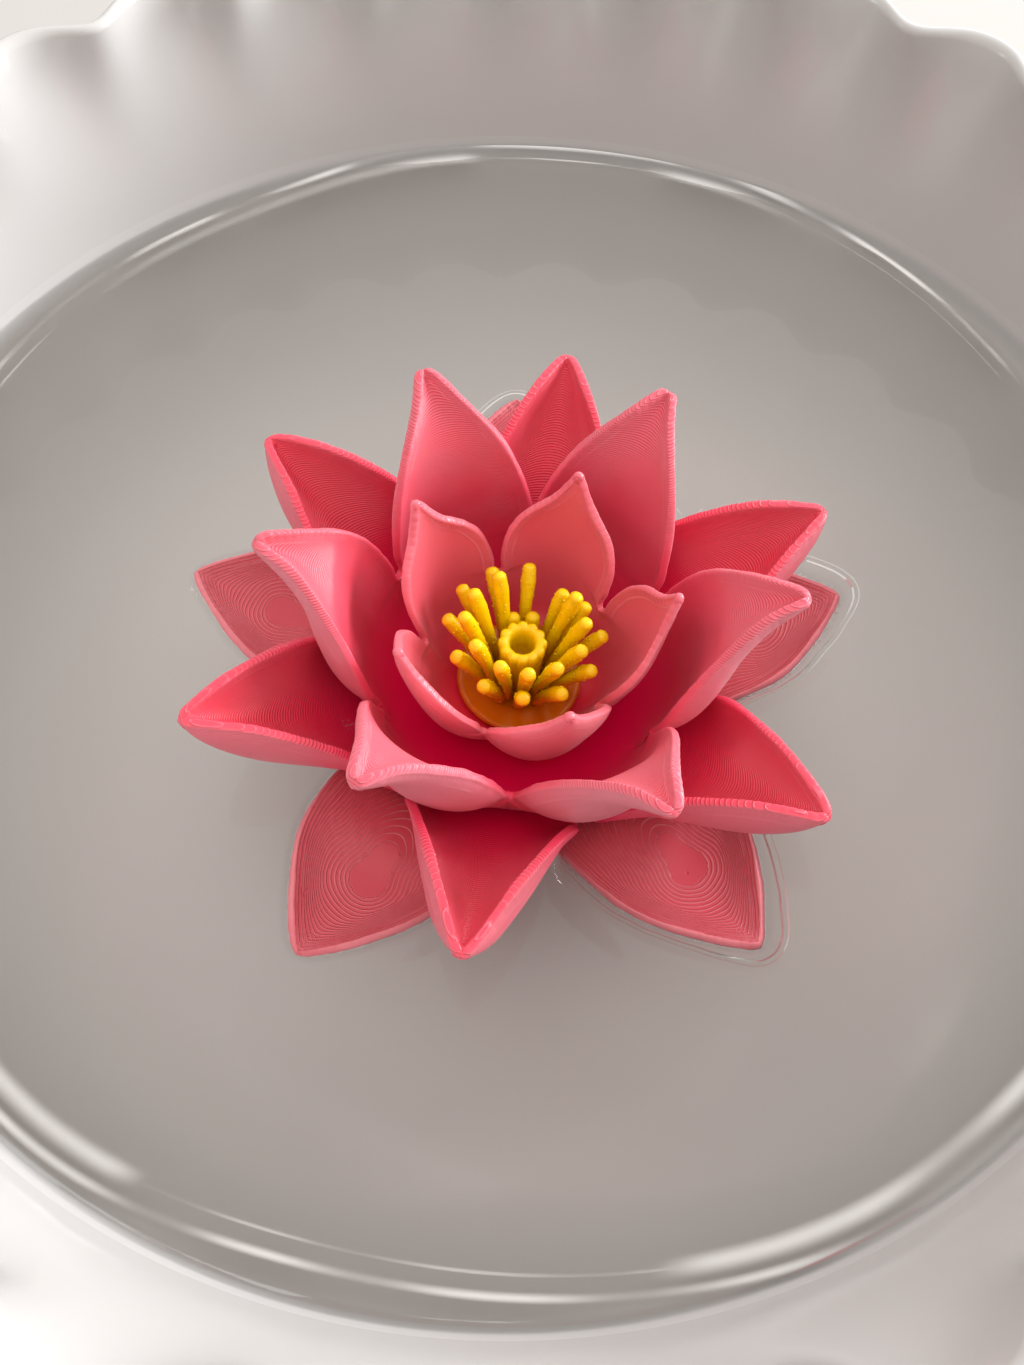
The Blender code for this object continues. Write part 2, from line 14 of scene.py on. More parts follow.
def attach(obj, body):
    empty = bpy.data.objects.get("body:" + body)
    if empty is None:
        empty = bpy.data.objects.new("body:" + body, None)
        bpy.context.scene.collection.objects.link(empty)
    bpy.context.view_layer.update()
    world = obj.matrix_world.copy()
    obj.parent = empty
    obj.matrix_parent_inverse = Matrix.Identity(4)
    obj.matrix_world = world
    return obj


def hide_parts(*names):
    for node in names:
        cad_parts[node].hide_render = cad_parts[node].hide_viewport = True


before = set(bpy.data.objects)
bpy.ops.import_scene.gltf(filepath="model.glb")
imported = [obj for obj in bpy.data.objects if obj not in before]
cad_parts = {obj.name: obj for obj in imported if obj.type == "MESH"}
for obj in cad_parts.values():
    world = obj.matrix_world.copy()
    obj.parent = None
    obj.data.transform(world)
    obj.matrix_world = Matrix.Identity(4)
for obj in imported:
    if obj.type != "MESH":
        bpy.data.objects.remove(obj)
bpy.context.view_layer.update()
MM = 0.001

# ---- measures, as in the solids ----
BOWL_HEIGHT = 60.0
RIM_RADIUS = 82.8
RIM_LOBES = 28
RIM_WAVE = 2.2
RIM_NOTCH_DEG = 52.7
FOOT_RADIUS = 41.0
FOOT_WIDTH = 4.0
FOOT_HEIGHT = 2.2
WATER_LEVEL = 33.0
WATER_RADIUS = 76.9
FLOWER_X = 1.6
FLOWER_Y = -12.7
LEAN_X_DEG = 1.3
LEAN_Y_DEG = 2.4
LAYER = 0.2

RINGS = {
    "base_petals": dict(
        count=5, turn=19.1, wall=0.85, arc=56.0, belly=0.0, belly_at=(0.3, 1.0), belly_low=0.9,
        keel=[(8.9, -7.2), (12.5, -6.95), (16.0, -5.8), (20.0, -3.8), (24.2, -3.5), (28.8, -3.8),
              (33.0, -3.3), (36.6, -2.0), (39.2, -0.7)],
        keel_notch=2, notch=(16.0, -5.9), crease=[(12.0, -6.95)],
        side=[(14.1, 9.15, -5.6), (17.2, 9.1, -4.3), (22.5, 9.2, -2.1), (29.0, 7.9, -1.2), (35.0, 4.1, -0.95),
              (38.7, 0.75, -0.7)],
        sway=(-2.4, 0.0, 0.5, 1.7, 1.1), lift=(-0.4, 0.0, -0.2, 0.3, 0.1)),
    "outer_petals": dict(
        count=6, turn=22.5, wall=0.95, arc=84.0, belly=1.9, belly_at=(0.42, 0.98), belly_low=0.9,
        keel=[(8.4, -6.1), (11.5, -5.85), (15.0, -4.7), (18.5, -2.7), (22.0, -0.4), (26.0, 2.6), (30.0, 5.7),
              (33.5, 8.8), (35.8, 11.0)],
        keel_notch=2, notch=(16.8, -3.1), crease=[(12.2, -5.5)],
        side=[(15.5, 8.15, -3.0), (16.9, 8.7, -2.3), (18.3, 8.7, 0.5), (19.9, 8.0, 3.9), (23.2, 6.4, 7.5), (29.5, 3.4, 10.8),
              (35.2, 0.6, 11.2)],
        sway=(1.1, 0.0, 0.9, -0.1, -1.3, 0.7), lift=(0.3, 0.5, -0.4, 0.3, -0.3, -0.4)),
    "mid_petals": dict(
        count=6, turn=-4.2, wall=0.95, arc=76.0, belly=2.3, belly_at=(0.24, 0.98), belly_low=0.62,
        keel=[(7.9, -5.0), (11.0, -4.6), (14.6, -3.3), (17.3, -0.7), (18.8, 3.6), (19.6, 8.6), (20.9, 13.4), (23.7, 16.8),
              (27.2, 19.1)],
        keel_notch=3, notch=(16.9, 2.4), crease=[(12.4, -4.0), (16.0, -2.1)],
        side=[(14.95, 7.95, 2.75), (15.6, 8.15, 4.8), (17.1, 7.4, 9.4), (19.4, 5.6, 14.1), (23.6, 2.2, 18.4),
              (26.7, 0.55, 19.4)],
        sway=(-1.6, 1.6, -0.5, 1.3, 0.6, 1.2), lift=(1.1, -0.2, -0.3, 1.6, -0.9, -1.4)),
    "inner_petals": dict(
        count=5, turn=-3.0, wall=0.85, arc=64.0, belly=0.0, belly_at=(0.3, 1.0), belly_low=0.9,
        keel=[(7.4, -3.95), (9.2, -3.3), (10.9, -1.1), (12.2, 2.2), (13.2, 6.0), (13.9, 9.4), (14.4, 12.8), (14.9, 16.2)],
        keel_notch=3, notch=(10.5, 2.7), crease=[(8.9, -1.6)],
        side=[(8.95, 5.8, 3.05), (9.5, 6.05, 4.8), (10.7, 6.0, 7.3), (12.1, 5.0, 9.6), (13.8, 2.0, 12.7), (14.6, 0.5, 15.3)],
        sway=(-0.2, 1.9, 0.8, 0.3, 0.3), lift=(-0.6, 0.8, -1.0, 0.4, 0.4)),
}
SWAY_FROM = 12.0
SWAY_OVER = 8.0

DISC_RADIUS = 7.1
DISC_TOP = -2.5
TUBE_RADIUS = 2.5
TUBE_BORE = 1.4
TUBE_TOP = 5.0
TUBE_LOBES = 12
STAMEN_RADIUS = 0.66
LOW_RING = dict(root=3.7, ends=((86, 8.7, 6.4), (52, 7.0, 6.2), (29, 7.7, 6.4), (1, 8.5, 6.4), (-30, 8.3, 6.4), (-60, 8.1, 6.3),
                                (-90, 7.7, 6.3), (-123, 7.6, 6.3), (-157, 7.7, 6.4), (-191, 8.3, 6.4), (-219, 8.7, 6.4), (-246, 8.7, 6.4)))
HIGH_RING = dict(root=3.0, ends=((104, 4.1, 3.4), (74, 4.3, 3.4), (32, 6.5, 8.8), (2, 6.5, 8.8), (-28, 6.7, 8.8), (-57, 6.3, 8.7),
                                 (-86, 6.1, 8.7), (-115, 5.9, 8.7), (-150, 5.9, 8.8), (-184, 6.4, 8.8), (-212, 6.4, 8.8), (-244, 6.4, 8.8)))


# ---- small helpers ----
def smooth(x, lo, hi):
    t = np.clip((np.asarray(x, float) - lo) / (hi - lo), 0.0, 1.0)
    return t * t * (3.0 - 2.0 * t)


def wobble(p, seed, scale):
    """A smooth value from about -1 to 1 that wanders over space, the same on every run."""
    rng = np.random.default_rng(seed)
    total = np.zeros(len(p))
    for _ in range(7):
        k = rng.normal(size=3) * scale
        total += np.sin(p @ k + rng.uniform(0, 6.283))
    return total / 2.65


def through(points, where):
    """A smooth curve through the points, sampled at the fractional point numbers in where."""
    pts = np.array(points, float)
    knots = np.concatenate([[0.0], np.cumsum(np.linalg.norm(np.diff(pts, axis=0), axis=1) ** 0.5)])
    slope = np.zeros_like(pts)
    slope[0] = (pts[1] - pts[0]) / (knots[1] - knots[0])
    slope[-1] = (pts[-1] - pts[-2]) / (knots[-1] - knots[-2])
    for i in range(1, len(pts) - 1):
        before = (pts[i] - pts[i - 1]) / (knots[i] - knots[i - 1])
        after = (pts[i + 1] - pts[i]) / (knots[i + 1] - knots[i])
        share = (knots[i + 1] - knots[i]) / (knots[i + 1] - knots[i - 1])
        slope[i] = before * share + after * (1.0 - share)
    w = np.asarray(where, float)
    i = np.clip(np.floor(w).astype(int), 0, len(pts) - 2)
    x = (w - i)[:, None]
    h = (knots[i + 1] - knots[i])[:, None]
    return ((2 * x**3 - 3 * x**2 + 1) * pts[i] + (x**3 - 2 * x**2 + x) * h * slope[i]
            + (-2 * x**3 + 3 * x**2) * pts[i + 1] + (x**3 - x**2) * h * slope[i + 1])


def evenly(points, first, last, shares):
    fine = np.linspace(first, last, 600)
    line = through(points, fine)
    run = np.concatenate([[0.0], np.cumsum(np.linalg.norm(np.diff(line, axis=0), axis=1))])
    return through(points, np.interp(np.array(shares) * run[-1], run, fine))


def float_place(points):
    ax, ay = math.radians(LEAN_X_DEG), math.radians(LEAN_Y_DEG)
    rx = np.array([[1, 0, 0], [0, math.cos(ax), -math.sin(ax)], [0, math.sin(ax), math.cos(ax)]])
    ry = np.array([[math.cos(ay), 0, math.sin(ay)], [0, 1, 0], [-math.sin(ay), 0, math.cos(ay)]])
    return np.asarray(points) @ (rx @ ry).T + np.array([FLOWER_X, FLOWER_Y, WATER_LEVEL])


def new_piece(name, verts, faces, mats, replaces=None, attributes=None, face_mats=None, normals=None):
    mesh = bpy.data.meshes.new(name)
    verts = np.asarray(verts, float) * MM
    mesh.from_pydata(verts.tolist(), [], [tuple(int(i) for i in f) for f in faces])
    mesh.validate(verbose=False)
    for m in mats:
        mesh.materials.append(m)
    if face_mats is not None and len(face_mats) == len(mesh.polygons):
        mesh.polygons.foreach_set("material_index", np.asarray(face_mats, dtype=np.int32))
    mesh.polygons.foreach_set("use_smooth", np.ones(len(mesh.polygons), dtype=bool))
    for key, values in (attributes or {}).items():
        layer = mesh.attributes.new(key, "FLOAT", "POINT")
        layer.data.foreach_set("value", np.asarray(values, dtype=np.float32))
    if normals is not None:
        mesh.normals_split_custom_set_from_vertices([tuple(float(c) for c in n) for n in normals])
    mesh.update()
    thing = bpy.data.objects.new(name, mesh)
    bpy.context.scene.collection.objects.link(thing)
    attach(thing, "root")
    if replaces:
        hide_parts(replaces)
    return thing


# ---- petals ----
def petal_grid(ring, crease_rows, free_rows, across):
    """Rows over the middle surface of one petal pointing along +x, hub first; the last row is the tip."""
    half = math.pi / ring["count"]
    keel = ring["keel"]
    hub_r, hub_z = keel[0]
    edge = [(hub_r * math.cos(half), hub_r * math.sin(half), hub_z)]
    crease = edge + [(r * math.cos(half), r * math.sin(half), z) for r, z in ring["crease"] + [ring["notch"]]]
    tip = (keel[-1][0], 0.0, keel[-1][1])
    free = [crease[-1]] + list(ring["side"]) + [tip]
    low = np.linspace(0.0, 1.0, crease_rows + 1)
    high = np.linspace(0.0, 1.0, free_rows + 1)
    high = high + 0.10 * np.sin(high * math.pi) * high
    k = np.concatenate([evenly(keel, 0, ring["keel_notch"], low),
                        evenly(keel, ring["keel_notch"], len(keel) - 1, high)[1:]])
    e = np.concatenate([evenly(crease, 0, len(crease) - 1, low), evenly(free, 0, len(free) - 1, high)[1:]])
    rows = len(k)
    grow = np.minimum(1.0, np.arange(rows) / float(crease_rows))
    arc = (half * (1.0 - grow) + math.radians(ring["arc"]) * grow)[:, None]
    u = np.linspace(-1.0, 1.0, across + 1)
    u = (u * 0.86 + np.sin(u * math.pi / 2) * 0.14)[None, :]     # a little closer together at the edges
    side = np.sin(arc * np.abs(u)) / np.sin(arc)
    rise = (1.0 - np.cos(arc * u)) / (1.0 - np.cos(arc))
    grid = np.zeros((rows, across + 1, 3))
    grid[..., 0] = k[:, :1] + (e[:, :1] - k[:, :1]) * rise
    grid[..., 1] = np.sign(u) * e[:, 1:2] * side
    grid[..., 2] = k[:, 1:2] + (e[:, 2:3] - k[:, 1:2]) * rise
    return grid, u[0]


def settle(points, sway_deg, lift_deg):
    out = points.copy()
    radius = np.hypot(points[..., 0], points[..., 1])
    w = smooth(radius, SWAY_FROM, SWAY_FROM + SWAY_OVER)
    a = np.radians(lift_deg) * w
    x, z = points[..., 0] - SWAY_FROM, points[..., 2] + 3.0
    out[..., 0] = SWAY_FROM + x * np.cos(a) - z * np.sin(a)
    out[..., 2] = -3.0 + x * np.sin(a) + z * np.cos(a)
    b = np.radians(sway_deg) * w
    x, y = out[..., 0].copy(), out[..., 1].copy()
    out[..., 0] = x * np.cos(b) - y * np.sin(b)
    out[..., 1] = x * np.sin(b) + y * np.cos(b)
    return out


def layer_profile(f):
    """How far a printed bead stands out through its own height: round, with a groove where two meet."""
    return np.sqrt(np.clip(1.0 - (2.0 * f - 1.0) ** 2, 0.0, 1.0)) - 0.79


def ring_piece(name, crease_rows, free_rows, across, passes, mat, slot):
    ring = RINGS[name]
    base, u = petal_grid(ring, crease_rows, free_rows, across)
    rows, cols = base.shape[:2]
    points, faces, extra, row_of, u_of, petal_of = [], [], [], [], [], []
    start, stop = ring["belly_at"]
    t = (np.arange(rows) / (rows - 1.0) - start) / (stop - start)
    along = np.where((t > 0) & (t < 1), np.sin(math.pi * np.clip(t, 1e-6, 1) ** ring["belly_low"]).clip(0) ** 0.8, 0.0)
    belly = ring["belly"] * along[:, None] * ((1.0 - u * u).clip(0) ** 1.2)[None, :]
    hub_rows = 5
    for n in range(ring["count"]):
        grid = settle(base, ring["sway"][n], ring["lift"][n])
        grid[: crease_rows + 1, 0] = base[: crease_rows + 1, 0]
        grid[: crease_rows + 1, -1] = base[: crease_rows + 1, -1]
        a = math.radians(ring["turn"] + n * 360.0 / ring["count"])
        turned = grid.copy()
        turned[..., 0] = grid[..., 0] * math.cos(a) - grid[..., 1] * math.sin(a)
        turned[..., 1] = grid[..., 0] * math.sin(a) + grid[..., 1] * math.cos(a)
        hub = [turned[0] * np.array([s, s, 1.0]) + np.array([0, 0, 0.0]) for s in np.linspace(0.06, 1.0, hub_rows)[:-1]]
        whole = np.concatenate([np.array(hub), turned])
        first = sum(len(p) for p in points)
        index = first + np.arange(whole.shape[0] * cols).reshape(whole.shape[0], cols)
        points.append(whole.reshape(-1, 3))
        extra.append(np.concatenate([np.zeros((hub_rows - 1, cols)), belly]).ravel())
        row_of.append(np.repeat(np.arange(whole.shape[0]) - (hub_rows - 1), cols))
        u_of.append(np.tile(u, whole.shape[0]))
        petal_of.append(np.full(whole.shape[0] * cols, n))
        q = np.stack([index[:-1, :-1], index[1:, :-1], index[1:, 1:], index[:-1, 1:]], axis=-1).reshape(-1, 4)
        faces.append(q)
    points = np.concatenate(points)
    extra = np.concatenate(extra)
    row_of, u_of, petal_of = np.concatenate(row_of), np.concatenate(u_of), np.concatenate(petal_of)
    faces = np.concatenate(faces)
    _, first_of, which = np.unique(np.round(points, 4), axis=0, return_index=True, return_inverse=True)
    which = which.reshape(-1)
    points, extra = points[first_of], extra[first_of]
    row_of, u_of, petal_of = row_of[first_of], u_of[first_of], petal_of[first_of]
    faces = which[faces]
    clean = []
    for f in faces.tolist():
        g = [f[i] for i in range(4) if f[i] != f[i - 1]]
        if len(set(g)) >= 3:
            clean.append(g)
    # the small hole in the middle of the hub
    used = {}
    for f in clean:
        for i in range(len(f)):
            used[(f[i], f[(i + 1) % len(f)])] = True
    open_edges = [(a, b) for (a, b) in used if (b, a) not in used]
    radius = np.hypot(points[:, 0], points[:, 1])
    middle = len(points)
    points = np.concatenate([points, [[0.0, 0.0, ring["keel"][0][1]]]])
    extra = np.append(extra, 0.0)
    row_of, u_of, petal_of = np.append(row_of, -9), np.append(u_of, 0.0), np.append(petal_of, 0)
    rim = []
    for a, b in open_edges:
        if radius[a] < 3.0:
            clean.append([b, a, middle])
        else:
            rim.append((a, b))
    # directions square to the surface, evened out over a couple of millimetres
    tri = np.array([[f[0], f[i], f[i + 1]] for f in clean for i in range(1, len(f) - 1)])
    fn = np.cross(points[tri[:, 1]] - points[tri[:, 0]], points[tri[:, 2]] - points[tri[:, 0]])
    up = np.zeros_like(points)
    for c in range(3):
        np.add.at(up, tri[:, c], fn)
    up /= np.linalg.norm(up, axis=1)[:, None] + 1e-12
    pairs = np.concatenate([tri[:, [0, 1]], tri[:, [1, 2]], tri[:, [2, 0]]])
    degree = np.bincount(pairs.ravel(), minlength=len(points)).astype(float)[:, None]
    for _ in range(passes):
        around = np.zeros_like(up)
        np.add.at(around, pairs[:, 0], up[pairs[:, 1]])
        np.add.at(around, pairs[:, 1], up[pairs[:, 0]])
        up = up + around / degree
        up /= np.linalg.norm(up, axis=1)[:, None] + 1e-12
    wall = ring["wall"]
    top = points + up * wall * 0.42
    low = points - up * (wall * 0.58 + extra)[:, None]
    count = len(points)
    follow = dict(rim)
    before = {b: a for a, b in rim}
    starts = list(follow)
    loop = [starts[0]]
    while follow[loop[-1]] != loop[0]:
        loop.append(follow[loop[-1]])
    loop = np.array(loop)
    ahead = top[np.roll(loop, -1)] - top[np.roll(loop, 1)]
    away = np.cross(ahead, up[loop])
    for _ in range(10):
        away = away + 0.5 * (np.roll(away, 1, axis=0) + np.roll(away, -1, axis=0))
        away /= np.linalg.norm(away, axis=1)[:, None] + 1e-12
    steps = 5
    bands = []
    middle_of_edge = (top[loop] + low[loop]) / 2.0
    half_edge = (top[loop] - low[loop]) / 2.0
    for s in range(1, steps + 1):
        a = math.pi * s / (steps + 1)
        flat = math.copysign(abs(math.cos(a)) ** 0.7, math.cos(a))
        bands.append(middle_of_edge + half_edge * flat + away * (wall * 0.30 * math.sin(a) ** 0.55))
    verts = np.concatenate([top, low] + bands)
    out = [tuple(f) for f in clean] + [tuple(i + count for i in reversed(f)) for f in clean]
    chain = [loop] + [2 * count + s * len(loop) + np.arange(len(loop)) for s in range(steps)] + [loop + count]
    size = len(loop)
    for one, two in zip(chain, chain[1:]):
        for i in range(size):
            j = (i + 1) % size
            out.append((int(one[j]), int(one[i]), int(two[i]), int(two[j])))
    # what each point is: how far it is from the free edge and from a tip, and its printed layer
    rim_points = points[loop]
    tips = np.array([[points[(petal_of == n) & (row_of == rows - 1)][0]] for n in range(ring["count"])]).reshape(-1, 3)
    source = np.concatenate([np.arange(count), np.arange(count), np.tile(loop, steps)])
    spread = np.zeros(count)
    for n in range(ring["count"]):
        mine = np.where(petal_of == n)[0]
        near = rim_points[np.hypot(*(rim_points - tips[n])[:, :2].T) < 40.0]
        for part in np.array_split(mine, max(1, len(mine) // 1500)):
            d = np.linalg.norm(points[part][:, None, :] - near[None, :, :], axis=2)
            spread[part] = d.min(axis=1)
    edge = spread[source]
    tipd = np.min(np.linalg.norm(verts[:, None, :] - tips[None, :, :], axis=2), axis=1)
    side = np.concatenate([np.ones(count), np.zeros(count), np.linspace(0.85, 0.15, steps).repeat(size)])
    info = dict(rows=rows, row=row_of[source], u=u_of[source], petal=petal_of[source], edge=edge, tip=tipd, side=side,
                base=points, loop=loop, count=count, steps=steps, tips=tips, up=up[source], source=source, ring=ring)
    return verts, out, info


def base_layers(verts, info):
    """The printed layers of the flat lowest petals: rings round a low patch, turning into lines along the edges."""
    ring = info["ring"]
    field = np.zeros(len(verts))
    pitch = np.full(len(verts), 0.5)
    swirl = np.full(len(verts), 9.0)
    for n in range(ring["count"]):
        mine = info["petal"] == n
        a = math.radians(ring["turn"] + n * 72.0 + ring["sway"][n])
        x = verts[mine, 0] * math.cos(a) + verts[mine, 1] * math.sin(a)
        y = -verts[mine, 0] * math.sin(a) + verts[mine, 1] * math.cos(a)
        swirl[mine] = np.hypot(x - 37.6, y)
        p = np.column_stack([x, y, np.full(len(x), n * 3.0)])
        x = x + 0.05 * wobble(p, 21, 0.9) + 0.10 * wobble(p, 22, 0.25)
        y = y + 0.05 * wobble(p, 23, 0.9) + 0.10 * wobble(p, 24, 0.25)
        dx, dy = x - 28.6, y - 0.5
        hubward = smooth(-dx, -1.0, 4.5) * smooth(np.abs(dx) - np.abs(dy) * 0.9, -3.0, 3.0)
        stretch = 1.0 + 1.2 * hubward
        rho = np.sqrt((dx / stretch) ** 2 + dy**2)
        rings_ = np.where(rho < 2.1, 0.5, 1.0 + (rho - 2.1) / 0.47)
        lane = 1.0 + (8.6 - 2.1) / 0.47 + (1.9 - info["edge"][mine]) / 0.46
        w = 1.0 - smooth(info["edge"][mine], 0.7, 3.8)
        field[mine] = rings_ * (1 - w) + lane * w
        pitch[mine] = 0.47 * stretch
    info["swirl"] = swirl
    return field, pitch


def tip_knobs(verts, faces, info, layers, pitch, name):
    """A small flattened button at every petal tip, where the print ends in a swirl."""
    wide, thick, inset = {"base_petals": (0.95, 0.34, 0.95), "outer_petals": (0.98, 0.62, 0.80), "mid_petals": (0.92, 0.62, 0.75),
                          "inner_petals": (0.62, 0.50, 0.45)}[name]
    around, rows = 22, 12
    verts, faces = list(map(tuple, verts)), list(faces)
    new = dict(edge=[], tip=[], side=[], swirl=[], beads=[], run=[])
    more_layers, more_pitch = [], []
    for n in range(info["ring"]["count"]):
        tip = info["tips"][n]
        k = int(np.argmin(np.linalg.norm(info["base"] - tip, axis=1)))
        near = np.where((info["petal"][: info["count"]] == n) & (np.linalg.norm(info["base"] - tip, axis=1) < 2.6))[0]
        up = info["up"][near].mean(axis=0)
        up /= np.linalg.norm(up)
        back = info["base"][near].mean(axis=0) - tip
        back -= up * (back @ up)
        back /= np.linalg.norm(back) + 1e-12
        side = np.cross(up, back)
        centre = info["base"][k] + back * inset
        first = len(verts)
        for i in range(rows + 1):
            b = -math.pi / 2 + math.pi * i / rows
            for s in range(around):
                a = 2 * math.pi * s / around
                h = math.copysign(abs(math.sin(b)) ** 0.8, math.sin(b))
                w = abs(math.cos(b)) ** 0.75
                v = centre + up * thick * h + (back * math.cos(a) * 1.1 + side * math.sin(a)) * wide * w
                verts.append(tuple(v))
                new["swirl"].append(wide * w)
                new["edge"].append(0.5)
                new["tip"].append(0.5)
                new["side"].append(1.0 if b > 0 else 0.3)
                new["beads"].append(0.0)
                new["run"].append(30.0)
                more_layers.append(0.5)
                more_pitch.append(0.5)
        for i in range(rows):
            for s in range(around):
                t = (s + 1) % around
                faces.append((first + i * around + s, first + (i + 1) * around + s, first + (i + 1) * around + t, first + i * around + t))
        # the two ends are drawn in to a point, so each is closed by one face
        faces.append(tuple(first + s for s in range(around)))
        faces.append(tuple(first + rows * around + s for s in reversed(range(around))))
    return (np.array(verts), faces, np.concatenate([layers, more_layers]), np.concatenate([pitch, more_pitch]),
            {key: np.array(v) for key, v in new.items()})


def along_rim(info):
    """For every point, how far along the free edge it is from its petal's tip."""
    loop, petal = info["loop"], info["petal"]
    pts = info["base"][loop]
    out = np.zeros(len(info["source"]))
    for n in range(info["ring"]["count"]):
        tip = info["tips"][n]
        k = int(np.argmin(np.linalg.norm(pts - tip, axis=1)))
        rolled = np.roll(pts, -k, axis=0)
        seg = np.linalg.norm(np.diff(rolled, axis=0), axis=1)
        ahead = np.concatenate([[0], np.cumsum(seg)])
        seg_b = np.linalg.norm(np.diff(rolled[::-1], axis=0), axis=1)
        behind = (np.concatenate([[0], np.cumsum(seg_b)]) + np.linalg.norm(rolled[0] - rolled[-1]))[::-1]
        far = np.minimum(ahead, behind)
        mine = np.where(petal[: info["count"]] == n)[0]
        for part in np.array_split(mine, max(1, len(mine) // 1500)):
            d = np.linalg.norm(info["base"][part][:, None, :] - rolled[None, far < 42, :], axis=2)
            out[part] = far[far < 42][d.argmin(axis=1)]
    return out[info["source"]]


def finish_ring(name, verts, faces, info, mat, bead=0.05):
    """Give the skin its printed beads, then place it on the water."""
    n = point_normals(verts, faces)
    if name == "base_petals":
        layers, pitch = base_layers(verts, info)
    else:
        layers = verts[:, 2] / LAYER
        pitch = LAYER / np.sqrt(np.clip(1.0 - n[:, 2] ** 2, 0.01, 1.0))
    run = along_rim(info)
    beads = run / 1.05 + 0.028 * run**2
    on_rim = (1.0 - smooth(info["edge"], 0.25, 0.95)) * smooth(info["side"], 0.1, 0.6)
    coarse = 1.0 - smooth(run, 5.0, 12.0)
    lump = np.abs(np.sin(math.pi * beads)) ** 0.8 - 0.6
    rough = wobble(verts, 11, 2.6) * 0.025 * (1.0 - smooth(info["edge"], 0.3, 1.2)) + wobble(verts, 5, 0.55) * 0.05
    step = 0.0
    if name == "base_petals":
        f = layers - np.floor(layers)
        step = (layer_profile(f) * 0.05 - f * 0.05) * info["side"]
    moved = verts + n * (lump * bead * on_rim * coarse + rough + step)[:, None]
    swirl = np.full(len(verts), 9.0)
    if name == "base_petals":
        swirl = info["swirl"]
    moved, faces, layers, pitch, extra = tip_knobs(moved, faces, info, layers, pitch, name)
    placed = float_place(moved)
    swirl = np.concatenate([swirl, extra["swirl"]])
    for key in ("edge", "tip", "side"):
        info[key] = np.concatenate([info[key], extra[key]])
    beads = np.concatenate([beads, extra["beads"]])
    run = np.concatenate([run, extra["run"]])
    verts = moved
    attributes = dict(swirl=swirl, layer=layers, pitch=pitch, edge=info["edge"], tip=info["tip"], side=info["side"], beads=beads, run=run,
                      high=verts[:, 2], out=np.hypot(verts[:, 0], verts[:, 1]))
    piece = new_piece(name + "_skin", placed, faces, [mat], replaces=name, attributes=attributes)
    return piece, placed


def point_normals(verts, faces):
    tri = np.array([[f[0], f[i], f[i + 1]] for f in faces for i in range(1, len(f) - 1)])
    fn = np.cross(verts[tri[:, 1]] - verts[tri[:, 0]], verts[tri[:, 2]] - verts[tri[:, 0]])
    n = np.zeros_like(verts)
    for c in range(3):
        np.add.at(n, tri[:, c], fn)
    return n / (np.linalg.norm(n, axis=1)[:, None] + 1e-12)


# ---- bowl ----
BOWL_INSIDE = [(0.0, 3.4), (30.0, 3.4), (46.0, 3.9), (54.3, 6.3), (62.2, 12.0), (68.4, 19.2), (72.9, 26.3),
               (WATER_RADIUS, WATER_LEVEL), (79.1, 40.5), (81.3, 49.5), (82.45, 56.4), (RIM_RADIUS, BOWL_HEIGHT - 0.9)]
BOWL_OUTSIDE = [(RIM_RADIUS + 2.45, BOWL_HEIGHT - 1.1), (85.0, 55.8), (84.0, 48.5),
                (82.1, 39.6), (79.7, 31.6), (75.0, 22.3), (69.5, 14.2), (62.0, 7.0), (53.0, 3.0), (45.6, 2.4)]


def scallop(angle, height):
    t = np.clip((height - WATER_LEVEL) / (BOWL_HEIGHT - WATER_LEVEL), 0.0, 1.0)
    phase = RIM_LOBES * (angle - math.radians(RIM_NOTCH_DEG))
    wave = -np.cos(phase) - 0.12 * np.cos(2 * phase) + 0.12
    return RIM_WAVE * wave * t**3.6


def bowl_profile():
    inside = evenly(BOWL_INSIDE[1:], 0, len(BOWL_INSIDE) - 2, np.linspace(0, 1, 44))
    lip_mid = np.array([RIM_RADIUS + 1.22, BOWL_HEIGHT - 1.0])
    lip = [lip_mid + np.array([-1.22 * math.cos(a), 1.0 * math.sin(a)]) for a in np.linspace(0, math.pi, 9)[1:-1]]
    outside = evenly(BOWL_OUTSIDE, 0, len(BOWL_OUTSIDE) - 1, np.linspace(0, 1, 40))
    foot_r = FOOT_RADIUS
    w = FOOT_WIDTH / 2
    foot = [(foot_r + w + 0.5, 2.2), (foot_r + w + 0.1, 1.5), (foot_r + w - 0.1, 0.5), (foot_r + w - 0.7, 0.0), (foot_r - w + 0.7, 0.0),
            (foot_r - w + 0.1, 0.4), (foot_r - w - 0.3, 0.95), (foot_r - w - 2.5, 1.1), (20.0, 1.1), (0.5, 1.1)]
    return np.concatenate([[(0.5, 3.4), (15.0, 3.4)], inside, lip, outside, foot])


